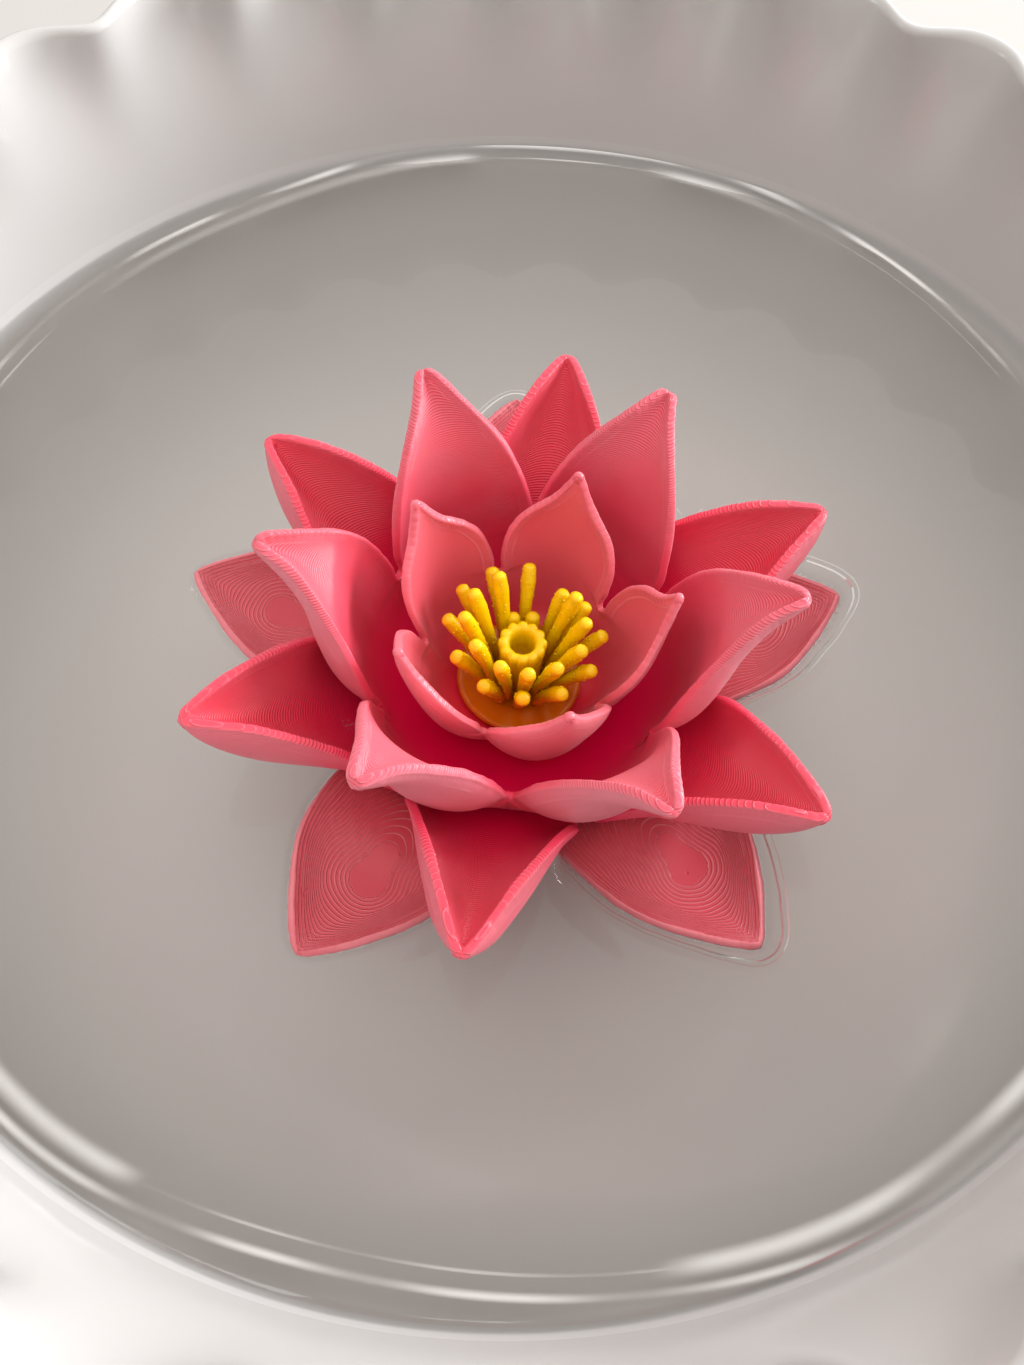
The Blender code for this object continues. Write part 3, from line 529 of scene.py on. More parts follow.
def bowl_piece(mats):
    profile = bowl_profile()
    around = RIM_LOBES * 20
    a = math.radians(RIM_NOTCH_DEG) + 2 * math.pi * np.arange(around) / around
    r = profile[:, 0][:, None] + scallop(a[None, :], profile[:, 1][:, None])
    z = np.repeat(profile[:, 1][:, None], around, axis=1)
    verts = np.stack([r * np.cos(a), r * np.sin(a), z], axis=-1).reshape(-1, 3)
    n = len(profile)
    index = np.arange(n * around).reshape(n, around)
    faces = np.stack([index[:-1], np.roll(index, -1, axis=1)[:-1], np.roll(index, -1, axis=1)[1:], index[1:]], axis=-1).reshape(-1, 4)
    faces = [tuple(f) for f in faces.tolist()]
    faces.append(tuple(reversed(index[0].tolist())))
    faces.append(tuple(index[-1].tolist()))
    # only the inside of the bowl below the water line is under water
    inside_rows = int(np.argmax(profile[:, 1] > WATER_LEVEL + 0.8))
    face_mats = [1 if i < inside_rows * around else 0 for i in range(len(faces))]
    face_mats[-2] = 1
    return new_piece("bowl_skin", verts, faces, mats, replaces="bowl", face_mats=face_mats)


# ---- water ----
BUBBLES = ((20.4, 22.6, 1.5), (21.9, 25.4, 1.15))  # loose bubbles on the water, from the flower: x, y, radius


def water_piece(clouds, mats):
    """The skin of the water: drawn down to the lowest petals' edges, up a little where it meets the steeper ones and the bowl."""
    slots = 900
    centre = np.array([FLOWER_X, FLOWER_Y])
    hole = np.full(slots, 14.0)
    hole_z = np.zeros(slots)
    for kind, cloud in clouds:
        low = cloud[cloud[:, 2] < WATER_LEVEL + (0.1 if kind != "base" else 3.0)]
        d = low[:, :2] - centre
        r, a = np.hypot(d[:, 0], d[:, 1]), np.arctan2(d[:, 1], d[:, 0])
        s = np.round((a % (2 * math.pi)) / (2 * math.pi) * slots).astype(int) % slots
        order = np.argsort(r)
        for k in (-1, 0, 1):
            t = (s[order] + k) % slots
            far = np.zeros(slots)
            np.maximum.at(far, t, r[order] - abs(k) * 0.05)
            zed = np.zeros(slots)
            zed[t] = low[order][:, 2] - WATER_LEVEL
            better = far > hole
            hole = np.where(better, far, hole)
            hole_z = np.where(better, (zed if kind == "base" else 0.45), hole_z)
    wide = np.concatenate([hole_z[-6:], hole_z, hole_z[:6]])
    hole_z = np.convolve(wide, np.ones(7) / 7.0, mode="same")[6:-6]
    angle = 2 * math.pi * np.arange(slots) / slots
    outline = centre + np.stack([np.cos(angle), np.sin(angle)], axis=1) * (hole - 0.12)[:, None]
    even = np.convolve(np.concatenate([hole[-3:], hole, hole[:3]]), np.array([1, 2, 3, 4, 3, 2, 1]) / 16.0, mode="valid")
    edge_line = centre + np.stack([np.cos(angle), np.sin(angle)], axis=1) * even[:, None]
    reach = WATER_RADIUS - 0.05

    def height(p):
        z = np.zeros(len(p))
        for part in np.array_split(np.arange(len(p)), max(1, len(p) // 2000)):
            d = np.linalg.norm(p[part][:, None, :] - edge_line[None, :, :], axis=2)
            w = 1.0 / (d + 0.05) ** 5
            z[part] = (w * hole_z[None, :] * np.exp(-d / 1.9)).sum(axis=1) / w.sum(axis=1)
        to_wall = (reach + 0.3 - np.hypot(p[:, 0], p[:, 1])).clip(0)
        return z + 1.8 * np.exp(-to_wall / 1.6)

    pts = [outline]
    inner_r = (hole - 0.12)

    def inside(p, margin):
        d = p - centre
        r = np.hypot(d[:, 0], d[:, 1])
        s = (np.arctan2(d[:, 1], d[:, 0]) % (2 * math.pi)) / (2 * math.pi) * slots
        h = np.interp(s, np.arange(slots + 1), np.append(inner_r, inner_r[0]))
        return (r > h + margin) & (np.hypot(p[:, 0], p[:, 1]) < reach - margin * 0.5)

    def gap(p):
        out = np.zeros(len(p))
        for part in np.array_split(np.arange(len(p)), max(1, len(p) // 4000)):
            out[part] = np.linalg.norm(p[part][:, None, :] - outline[None, ::2, :], axis=2).min(axis=1)
        return out

    for step, lo, hi in ((0.28, 0.18, 1.3), (0.5, 1.3, 3.2), (1.0, 3.2, 6.5), (2.4, 6.5, 400.0)):
        n = int(90 / step)
        gx, gy = np.meshgrid(np.arange(-n, n + 1) * step, np.arange(-n, n + 1) * step * 0.866)
        gx = gx + (np.arange(2 * n + 1) % 2)[:, None] * step / 2
        g = np.stack([gx.ravel(), gy.ravel()], axis=1)
        near = np.hypot(*(g - centre).T) < (52.0 if hi < 100 else 400.0)
        g = g[near]
        g = g[inside(g, lo * 0.5)]
        d = gap(g)
        g = g[(d > lo) & (d <= hi) & (np.hypot(g[:, 0], g[:, 1]) < reach - 7.0)]
        pts.append(g)
    for back, number in ((0.0, 560), (0.3, 560), (0.6, 560), (1.0, 560), (1.5, 480), (2.1, 400), (2.9, 360), (3.9, 300), (5.2, 260), (6.6, 220)):
        b = 2 * math.pi * (np.arange(number) + 0.5 * (number % 3)) / number
        pts.append(np.stack([np.cos(b), np.sin(b)], axis=1) * (reach - back))
    flat = np.concatenate(pts)
    edges = [(i, (i + 1) % slots) for i in range(slots)]
    verts2, _, faces2, orig, _, _ = delaunay_2d_cdt([Vector(p) for p in flat], edges, [], 0, 1e-5)
    flat = np.array([(v.x, v.y) for v in verts2])
    mid = np.array([flat[list(f)].mean(axis=0) for f in faces2])
    keep = inside(mid, 0.0)
    faces = [tuple(f) for f, k in zip(faces2, keep) if k]
    eps = 0.02
    z = height(flat)
    zx = (height(flat + np.array([eps, 0])) - height(flat - np.array([eps, 0]))) / (2 * eps)
    zy = (height(flat + np.array([0, eps])) - height(flat - np.array([0, eps]))) / (2 * eps)
    normals = np.stack([-zx, -zy, np.ones(len(z))], axis=1)
    normals /= np.linalg.norm(normals, axis=1)[:, None]
    shore = np.concatenate([np.linalg.norm(part[:, None, :] - edge_line[None, :, :], axis=2).min(axis=1)
                            for part in np.array_split(flat, max(1, len(flat) // 2000))])
    bank = (reach - np.hypot(flat[:, 0], flat[:, 1])).clip(0)
    bubble = np.full(len(flat), 9.0)
    for bx, by, br in BUBBLES:
        bubble = np.minimum(bubble, np.abs(np.hypot(*(flat - centre - np.array([bx, by])).T) - br))
    verts = np.column_stack([flat, z + WATER_LEVEL])
    used = np.unique(np.array(faces))
    remap = -np.ones(len(verts), dtype=int)
    remap[used] = np.arange(len(used))
    faces = remap[np.array(faces)]
    verts, normals, shore, bank, bubble = verts[used], normals[used], shore[used], bank[used], bubble[used]
    p = verts[faces]
    turned = np.cross(p[:, 1] - p[:, 0], p[:, 2] - p[:, 0])[:, 2] < 0
    faces[turned] = faces[turned][:, ::-1]
    # the fine lines lie near the petals, near the wall and round the bubbles
    close = (shore[faces].min(axis=1) < 3.2) | (bank[faces].min(axis=1) < 6.5) | (bubble[faces].min(axis=1) < 0.6)
    face_mats = np.where(close, 0, 1)
    return new_piece("water_skin", verts, faces.tolist(), mats, replaces="water", normals=normals, face_mats=face_mats,
                     attributes=dict(shore=shore, bank=bank, bubble=bubble))


# ---- stamens ----
def rod(line, radii, sides, seed, rough):
    """A printed rod along a line of points, round at the free end and a little uneven."""
    rng = np.random.default_rng(seed)
    line = np.array(line, float)
    n = len(line)
    tangent = np.gradient(line, axis=0)
    tangent /= np.linalg.norm(tangent, axis=1)[:, None]
    ref = np.array([0.0, 0.0, 1.0]) if abs(tangent[0][2]) < 0.9 else np.array([1.0, 0.0, 0.0])
    verts, rings = [], []
    a = 2 * math.pi * np.arange(sides) / sides
    for i in range(n):
        b = np.cross(tangent[i], ref)
        b /= np.linalg.norm(b)
        m = np.cross(b, tangent[i])
        ref = m
        r = radii[i] * (1.0 + rough * rng.normal(size=sides) * 0.5)
        rings.append(np.arange(sides) + i * sides)
        verts.append(line[i] + (np.cos(a)[:, None] * b + np.sin(a)[:, None] * m) * r[:, None])
    verts = np.concatenate(verts)
    faces = []
    for one, two in zip(rings, rings[1:]):
        for s in range(sides):
            t = (s + 1) % sides
            faces.append((one[s], one[t], two[t], two[s]))
    faces.append(tuple(int(i) for i in rings[0][::-1]))
    faces.append(tuple(int(i) for i in rings[-1]))
    return verts, faces


def stamen_line(root, end):
    turn, tip, top = math.radians(end[0]), end[1], end[2]
    start = DISC_TOP - 0.3
    pts = []
    for t in (0.0, 0.3, 0.6, 0.88, 1.0):
        r = root + (tip - root) * t**1.15
        z = start + (top - start) * (1.0 - (1.0 - t) ** 1.08)
        pts.append((r * math.cos(turn), r * math.sin(turn), z))
    return pts


def stamens_piece(mats):
    parts = []
    rng = np.random.default_rng(3)
    number = 0
    for ring in (LOW_RING, HIGH_RING):
        for end in ring["ends"]:
            number += 1
            pts = stamen_line(ring["root"], end)
            length = np.linalg.norm(np.diff(np.array(pts), axis=0), axis=1).sum()
            rings = int(length / 0.2) + 2
            shares = np.linspace(0, 1, rings)
            line = evenly(pts, 0, 4, shares)
            # the free end is a dome
            direction = line[-1] - line[-3]
            direction /= np.linalg.norm(direction)
            dome = np.array([line[-1] + direction * s for s in (0.16, 0.3, 0.40, 0.45)])
            base = np.interp(shares, [0, 0.3, 0.6, 0.85, 1.0], [1.02, 1.0, 1.06, 1.30, 1.14]) * STAMEN_RADIUS
            steps = 0.055 * np.sin(np.arange(rings) * math.pi * 0.9 + rng.uniform(0, 6)) * rng.uniform(0.4, 1.0, rings)
            radii = np.concatenate([base * (1 + steps), STAMEN_RADIUS * np.array([1.04, 0.84, 0.52, 0.14])])
            parts.append(rod(np.concatenate([line, dome]), radii, 14, 100 + number, 0.035))
            # the print stands out in small beads, here and there round each rod
            for k in range(int(rings * 0.6)):
                i = rng.integers(2, rings - 2)
                side = rng.normal(size=3)
                side -= direction * (side @ direction)
                side /= np.linalg.norm(side)
                c = line[i] + side * base[i] * 0.93
                parts.append(blob(c, rng.uniform(0.10, 0.2), rng.uniform(0.1, 0.17), direction))
    # the fluted tube
    around = TUBE_LOBES * 12
    a = 2 * math.pi * np.arange(around) / around
    verts, rings = [], []
    shape = ((TUBE_RADIUS * 1.0, DISC_TOP - 0.3, 0.3), (TUBE_RADIUS * 0.94, DISC_TOP + 1.2, 0.7), (TUBE_RADIUS * 0.95, TUBE_TOP - 3.0, 1.0),
             (TUBE_RADIUS, TUBE_TOP - 1.6, 1.2), (TUBE_RADIUS * 1.04, TUBE_TOP - 0.7, 1.5), (TUBE_RADIUS * 1.02, TUBE_TOP - 0.25, 1.6),
             (TUBE_RADIUS * 0.93, TUBE_TOP - 0.03, 1.5), (TUBE_RADIUS * 0.80, TUBE_TOP + 0.02, 1.2), (TUBE_RADIUS * 0.67, TUBE_TOP - 0.08, 0.9),
             (TUBE_BORE * 1.04, TUBE_TOP - 0.35, 0.5), (TUBE_BORE * 0.97, TUBE_TOP - 1.2, 0.3), (TUBE_BORE * 0.95, 2.2, 0.2), (TUBE_BORE * 0.9, 0.6, 0.0),
             (0.05, 0.6, 0.0))
    for i, (radius, z, lobed) in enumerate(shape):
        r = radius + 0.15 * lobed * (np.abs(np.cos(TUBE_LOBES * a / 2)) - 0.6)
        up = z + (0.12 * lobed * (np.abs(np.cos(TUBE_LOBES * a / 2)) - 0.6) if z > TUBE_TOP - 0.5 else 0.0)
        rings.append(np.arange(around) + i * around)
        verts.append(np.stack([r * np.cos(a), r * np.sin(a), np.zeros(around) + up], axis=1))
    verts = np.concatenate(verts)
    faces = []
    for one, two in zip(rings, rings[1:]):
        for s in range(around):
            t = (s + 1) % around
            faces.append((int(one[s]), int(one[t]), int(two[t]), int(two[s])))
    faces.append(tuple(int(i) for i in rings[-1]))
    parts.append((verts, faces))
    rods = len(parts)
    # the disc
    sides = 128
    a = 2 * math.pi * np.arange(sides) / sides
    verts, faces = [], []
    shape = [(0.1, DISC_TOP + 0.02)] + [(r, DISC_TOP + 0.02 * math.sin(r * 3)) for r in np.linspace(1.0, DISC_RADIUS - 0.3, 18)]
    shape += [(DISC_RADIUS - 0.08, DISC_TOP - 0.08), (DISC_RADIUS, DISC_TOP - 0.3), (DISC_RADIUS - 0.05, DISC_TOP - 0.7), (0.1, DISC_TOP - 0.72)]
    for i, (r, z) in enumerate(shape):
        verts.append(np.stack([r * np.cos(a), r * np.sin(a), np.full(sides, z)], axis=1))
    verts = np.concatenate(verts)
    for i in range(len(shape) - 1):
        for s in range(sides):
            t = (s + 1) % sides
            faces.append((i * sides + s, (i + 1) * sides + s, (i + 1) * sides + t, i * sides + t))
    parts.append((verts, faces))
    all_verts, all_faces, face_mats, first = [], [], [], 0
    for i, (v, f) in enumerate(parts):
        all_verts.append(v)
        all_faces += [tuple(int(k) + first for k in face) for face in f]
        face_mats += [1 if i == rods else 0] * len(f)
        first += len(v)
    all_verts = np.concatenate(all_verts)
    attributes = dict(high=all_verts[:, 2], out=np.hypot(all_verts[:, 0], all_verts[:, 1]))
    return new_piece("stamens_skin", float_place(all_verts), all_faces, mats, replaces="stamens", attributes=attributes,
                     face_mats=face_mats)


def blob(centre, wide, tall, axis):
    """A small rounded lump."""
    around, rings = 7, 5
    axis = np.asarray(axis, float)
    axis = axis / np.linalg.norm(axis)
    b = np.cross(axis, [0.3, 0.5, 0.81])
    b /= np.linalg.norm(b)
    m = np.cross(axis, b)
    verts = [centre - axis * tall]
    for i in range(1, rings):
        h = -math.cos(math.pi * i / rings)
        w = math.sin(math.pi * i / rings)
        for s in range(around):
            a = 2 * math.pi * s / around
            verts.append(centre + axis * tall * h + (b * math.cos(a) + m * math.sin(a)) * wide * w)
    verts.append(centre + axis * tall)
    faces = []
    for s in range(around):
        t = (s + 1) % around
        faces.append((0, 1 + t, 1 + s))
        for i in range(rings - 2):
            faces.append((1 + i * around + s, 1 + i * around + t, 1 + (i + 1) * around + t, 1 + (i + 1) * around + s))
        faces.append((1 + (rings - 2) * around + s, 1 + (rings - 2) * around + t, len(verts) - 1))
    return np.array(verts), faces


# ---- materials ----
class Graph:
    def __init__(self, name):
        self.mat = bpy.data.materials.new(name)
        self.mat.use_nodes = True
        self.tree = self.mat.node_tree
        self.tree.nodes.clear()
        self.out = self.tree.nodes.new("ShaderNodeOutputMaterial")

    def node(self, kind, inputs=None, **props):
        n = self.tree.nodes.new(kind)
        for key, value in props.items():
            setattr(n, key, value)
        for key, value in (inputs or {}).items():
            socket = n.inputs[key]
            if isinstance(value, bpy.types.NodeSocket):
                self.tree.links.new(value, socket)
            else:
                socket.default_value = value
        return n

    def math(self, op, a, b=None, c=None, clamp=False):
        n = self.tree.nodes.new("ShaderNodeMath")
        n.operation = op
        n.use_clamp = clamp
        for i, v in enumerate((a, b, c)):
            if v is None:
                continue
            if isinstance(v, bpy.types.NodeSocket):
                self.tree.links.new(v, n.inputs[i])
            else:
                n.inputs[i].default_value = v
        return n.outputs[0]

    def attribute(self, name):
        return self.node("ShaderNodeAttribute", attribute_name=name).outputs["Fac"]

    def map(self, value, lo, hi, to_lo=0.0, to_hi=1.0):
        n = self.node("ShaderNodeMapRange", interpolation_type="SMOOTHSTEP")
        self.tree.links.new(value, n.inputs["Value"])
        n.inputs["From Min"].default_value = lo
        n.inputs["From Max"].default_value = hi
        n.inputs["To Min"].default_value = to_lo
        n.inputs["To Max"].default_value = to_hi
        return n.outputs["Result"]

    def mix(self, factor, a, b):
        n = self.node("ShaderNodeMix", data_type="RGBA")
        for socket, v in ((n.inputs[0], factor), (n.inputs[6], a), (n.inputs[7], b)):
            if isinstance(v, bpy.types.NodeSocket):
                self.tree.links.new(v, socket)
            else:
                socket.default_value = (*v, 1.0) if isinstance(v, (tuple, list)) and len(v) == 3 else v
        return n.outputs[2]

    def noise(self, scale, detail=2.0, rough=0.5, vector=None, distortion=0.0):
        n = self.node("ShaderNodeTexNoise", {"Scale": scale, "Detail": detail, "Roughness": rough, "Distortion": distortion})
        self.tree.links.new(vector if vector is not None else self.place(), n.inputs["Vector"])
        return n.outputs["Fac"]

    def place(self):
        if not hasattr(self, "_place"):
            self._place = self.node("ShaderNodeTexCoord").outputs["Object"]
        return self._place

    def close(self, shader):
        self.tree.links.new(shader, self.out.inputs["Surface"])
        return self.mat


def petal_material(name, heart_shade, body, light, roughness, relief_scale, line_highlight, lines_from, lines_to, heart_shade_from, heart_shade_to, scatter=0.2, sheen=0.1):
    """Translucent print plastic: crimson painted shade in the heart of the flower, painted light at the thin edges,
    with the lines of its layers and their painted highlights.
    """
    g = Graph(name)
    layer, pitch, edge, side, high, out = (g.attribute(k) for k in ("layer", "pitch", "edge", "side", "high", "out"))
    beads, run, swirl = g.attribute("beads"), g.attribute("run"), g.attribute("swirl")
    drift = g.noise(230.0, 1.0, 0.5)
    patch = g.noise(150.0, 1.0, 0.5)
    frac = g.math("FRACT", g.math("ADD", layer, g.math("MULTIPLY", g.math("SUBTRACT", drift, 0.5), 0.5)))
    # millimetres to the nearest edge of a layer
    reach = g.math("MULTIPLY", g.math("SUBTRACT", 0.5, g.math("ABSOLUTE", g.math("SUBTRACT", frac, 0.5))), pitch)
    line = g.map(reach, 0.03, 0.13, 1.0, 0.0)
    turn = g.math("ABSOLUTE", g.math("SUBTRACT", g.math("FRACT", g.math("DIVIDE", swirl, 0.36)), 0.5))
    whorl = g.math("MULTIPLY", g.map(turn, 0.28, 0.48), g.map(swirl, 0.95, 1.35, 1.0, 0.0))
    tread = g.math("SUBTRACT", g.map(g.math("MULTIPLY", g.math("SUBTRACT", 1.0, frac), pitch), 0.0, 0.14, 1.0, 0.0), frac)
    scatter_out = g.math("ADD", out, g.math("MULTIPLY", g.math("SUBTRACT", patch, 0.5), 8.0))
    shown = g.map(scatter_out, lines_from, lines_to)
    rim = g.map(edge, 0.35, 1.05, 1.0, 0.0)
    outer_part = g.map(out, heart_shade_from + 1.0, heart_shade_to + 2.0)
    # colour: the crimson towards the hub is painted shade in the cup of the flower
    away = g.map(out, heart_shade_from, heart_shade_to)
    tone = g.noise(130.0, 0.0, 0.6)
    colour = g.mix(away, heart_shade, body)
    colour = g.mix(g.math("MULTIPLY", g.math("MULTIPLY", g.map(tone, 0.3, 0.8), 0.08), outer_part), colour, light)
    # painted highlight: the layer lines are drawn paler, as if their bead edges caught the light
    colour = g.mix(g.math("MULTIPLY", g.math("MULTIPLY", line, shown), line_highlight), colour, light)
    # painted light: the thin free edges are drawn paler, as if light glowed through them
    colour = g.mix(g.math("MULTIPLY", g.math("MULTIPLY", rim, outer_part), 0.12), colour, light)
    # painted highlight: the rings of the whorl at the tips are drawn paler
    colour = g.mix(g.math("MULTIPLY", whorl, 0.22), colour, light)
    # painted light: a fine paler line at the inner edge of the lip
    crisp = g.math("MULTIPLY", g.map(edge, 0.80, 0.98), g.map(edge, 1.02, 1.22, 1.0, 0.0))
    crisp = g.math("MULTIPLY", g.math("MULTIPLY", crisp, g.map(patch, 0.42, 0.58)), outer_part)
    colour = g.mix(g.math("MULTIPLY", crisp, 0.30), colour, light)
    # painted light: the outsides are drawn paler, with none of the painted shade of the cup
    outside = g.math("MULTIPLY", g.map(side, 0.0, 0.5, 1.0, 0.0), outer_part)
    colour = g.mix(g.math("MULTIPLY", outside, 0.42), colour, light)
    # pits left between the lines, darkened with painted shade
    pit = None
    if name == "petal_dusty":
        cell = g.node("ShaderNodeTexVoronoi", {"Scale": 560.0, "Randomness": 1.0}, feature="F1")
        g.tree.links.new(g.place(), cell.inputs["Vector"])
        pick = g.math("GREATER_THAN", g.node("ShaderNodeSeparateColor", {"Color": cell.outputs["Color"]}).outputs[0], 0.88)
        pit = g.math("MULTIPLY", g.math("MULTIPLY", g.map(cell.outputs["Distance"], 0.05, 0.13, 1.0, 0.0), pick), shown)
        colour = g.mix(g.math("MULTIPLY", pit, 0.30), colour, heart_shade)
    # relief, in tenths of a millimetre
    bead_frac = g.math("FRACT", beads)
    bead = g.math("SQRT", g.math("SUBTRACT", 1.0, g.math("POWER", g.math("ABSOLUTE", g.math("SUBTRACT", g.math("MULTIPLY", bead_frac, 2.0), 1.0)), 2.0), clamp=True))
    bead = g.math("MULTIPLY", g.math("MULTIPLY", bead, rim), g.map(run, 14.0, 22.0, 1.0, 0.25))
    relief = g.math("MULTIPLY", g.math("MULTIPLY", g.math("ADD", g.math("MULTIPLY", tread, 0.7), g.math("MULTIPLY", line, 0.35)), shown), relief_scale)
    relief = g.math("ADD", relief, g.math("MULTIPLY", bead, 0.22))
    relief = g.math("ADD", relief, g.math("MULTIPLY", whorl, 0.5))
    relief = g.math("ADD", relief, g.math("MULTIPLY", crisp, 0.35))
    if pit is not None:
        relief = g.math("SUBTRACT", relief, g.math("MULTIPLY", pit, 0.6))
    bump = g.node("ShaderNodeBump", {"Strength": 1.0, "Distance": 0.0001, "Height": relief})
    rough = roughness
    shader = g.node("ShaderNodeBsdfPrincipled", {
        "Base Color": colour, "Roughness": rough, "IOR": 1.48, "Subsurface Weight": scatter, "Subsurface Scale": 0.0007,
        "Subsurface Radius": (1.0, 0.30, 0.28), "Sheen Weight": sheen, "Sheen Roughness": 0.45, "Sheen Tint": (1.0, 0.74, 0.80, 1.0),
        "Normal": bump.outputs["Normal"]})
    return g.close(shader.outputs["BSDF"])


def stamen_material():
    g = Graph("stamen_plastic")
    high = g.attribute("high")
    tone = g.noise(420.0, 3.0, 0.6)
    # painted shade: the stamens are drawn deeper orange towards their feet, low among the petals
    colour = g.mix(g.map(high, -2.4, 4.0), (0.92, 0.36, 0.0), (1.0, 0.66, 0.0))
    colour = g.mix(g.math("MULTIPLY", g.map(tone, 0.4, 0.8), 0.15), colour, (1.0, 0.74, 0.0))
    frac = g.math("FRACT", g.math("MULTIPLY", high, 5.0))
    ridge = g.math("SUBTRACT", 1.0, g.math("ABSOLUTE", g.math("SUBTRACT", g.math("MULTIPLY", frac, 2.0), 1.0)))
    relief = g.math("ADD", g.math("MULTIPLY", ridge, 0.35), g.math("MULTIPLY", g.noise(900.0, 2.0, 0.5), 0.6))
    bump = g.node("ShaderNodeBump", {"Strength": 1.0, "Distance": 0.00007, "Height": relief})
    shader = g.node("ShaderNodeBsdfPrincipled", {
        "Base Color": colour, "Roughness": g.math("ADD", 0.26, g.math("MULTIPLY", tone, 0.12)), "IOR": 1.47, "Subsurface Weight": 0.2,
        "Subsurface Scale": 0.0009, "Subsurface Radius": (1.0, 0.55, 0.08), "Normal": bump.outputs["Normal"]})
    return g.close(shader.outputs["BSDF"])


def disc_material():
    g = Graph("amber_disc")
    out = g.attribute("out")
    swirl = g.noise(160.0, 3.0, 0.55, distortion=1.2)
    colour = g.mix(g.map(out, 2.0, 7.0), (0.55, 0.16, 0.0), (0.80, 0.26, 0.0))
    colour = g.mix(g.math("MULTIPLY", g.map(swirl, 0.35, 0.7), 0.5), colour, (0.50, 0.10, 0.0))
    lines = g.math("FRACT", g.math("MULTIPLY", out, 2.2))
    relief = g.math("ADD", g.math("MULTIPLY", lines, 0.2), g.noise(900.0, 2.0, 0.5))
    bump = g.node("ShaderNodeBump", {"Strength": 1.0, "Distance": 0.00003, "Height": relief})
    shader = g.node("ShaderNodeBsdfPrincipled", {
        "Base Color": colour, "Roughness": g.math("ADD", 0.18, g.math("MULTIPLY", swirl, 0.1)), "IOR": 1.47, "Subsurface Weight": 0.3,
        "Subsurface Scale": 0.001, "Subsurface Radius": (1.0, 0.4, 0.05), "Normal": bump.outputs["Normal"]})
    return g.close(shader.outputs["BSDF"])


def bowl_materials():
    """White glaze above the water line; the same glaze under water, where it has no shine of its own, drawn paler there
    as painted light and with a band of painted shade just under the water line.
    """
    made = []
    for name, ior, rough in (("bowl_glaze", 1.5, 0.16), ("bowl_glaze_under_water", 1.12, 0.4)):
        g = Graph(name)
        z = g.node("ShaderNodeSeparateXYZ", {"Vector": g.place()}).outputs["Z"]
        cloud = g.noise(22.0, 0.0, 0.5)
        dry = g.mix(g.map(cloud, 0.3, 0.7), (0.590, 0.585, 0.577), (0.615, 0.609, 0.601))
        # painted light: the same glaze is drawn much paler under the water than above it
        under = g.mix(g.map(cloud, 0.3, 0.7), (0.845, 0.826, 0.803), (0.875, 0.856, 0.833))
        # painted shade: a darker warm band just under the water line
        under = g.mix(g.math("MULTIPLY", g.map(z, (WATER_LEVEL - 9.0) * MM, (WATER_LEVEL - 2.0) * MM), 0.35), under, (0.78, 0.73, 0.69))
        # the outside is dry at every height
        colour = dry if name == "bowl_glaze" else g.mix(g.map(z, (WATER_LEVEL - 1.6) * MM, (WATER_LEVEL + 0.7) * MM, 1.0, 0.0), dry, under)
        relief = g.noise(60.0, 0.0, 0.5)
        bump = g.node("ShaderNodeBump", {"Strength": 1.0, "Distance": 0.0001, "Height": relief})
        shader = g.node("ShaderNodeBsdfPrincipled", {
            "Base Color": colour, "Roughness": rough, "IOR": ior})
        if name == "bowl_glaze":
            g.tree.links.new(bump.outputs["Normal"], shader.inputs["Normal"])
        made.append(g.close(shader.outputs["BSDF"]))
    return made


def open_water_material(tint=(0.965, 0.963, 0.96)):
    """Clear water away from the petals and the wall."""
    g = Graph("clear_water")
    fresnel = g.node("ShaderNodeFresnel", {"IOR": 1.34})
    clear = g.node("ShaderNodeBsdfTransparent", {"Color": (*tint, 1.0)})
    shine = g.node("ShaderNodeBsdfGlossy", {"Color": (1.0, 1.0, 1.0, 1.0), "Roughness": 0.03})
    both = g.node("ShaderNodeMixShader", {0: fresnel.outputs[0], 1: clear.outputs[0], 2: shine.outputs[0]})
    return g.close(both.outputs[0])


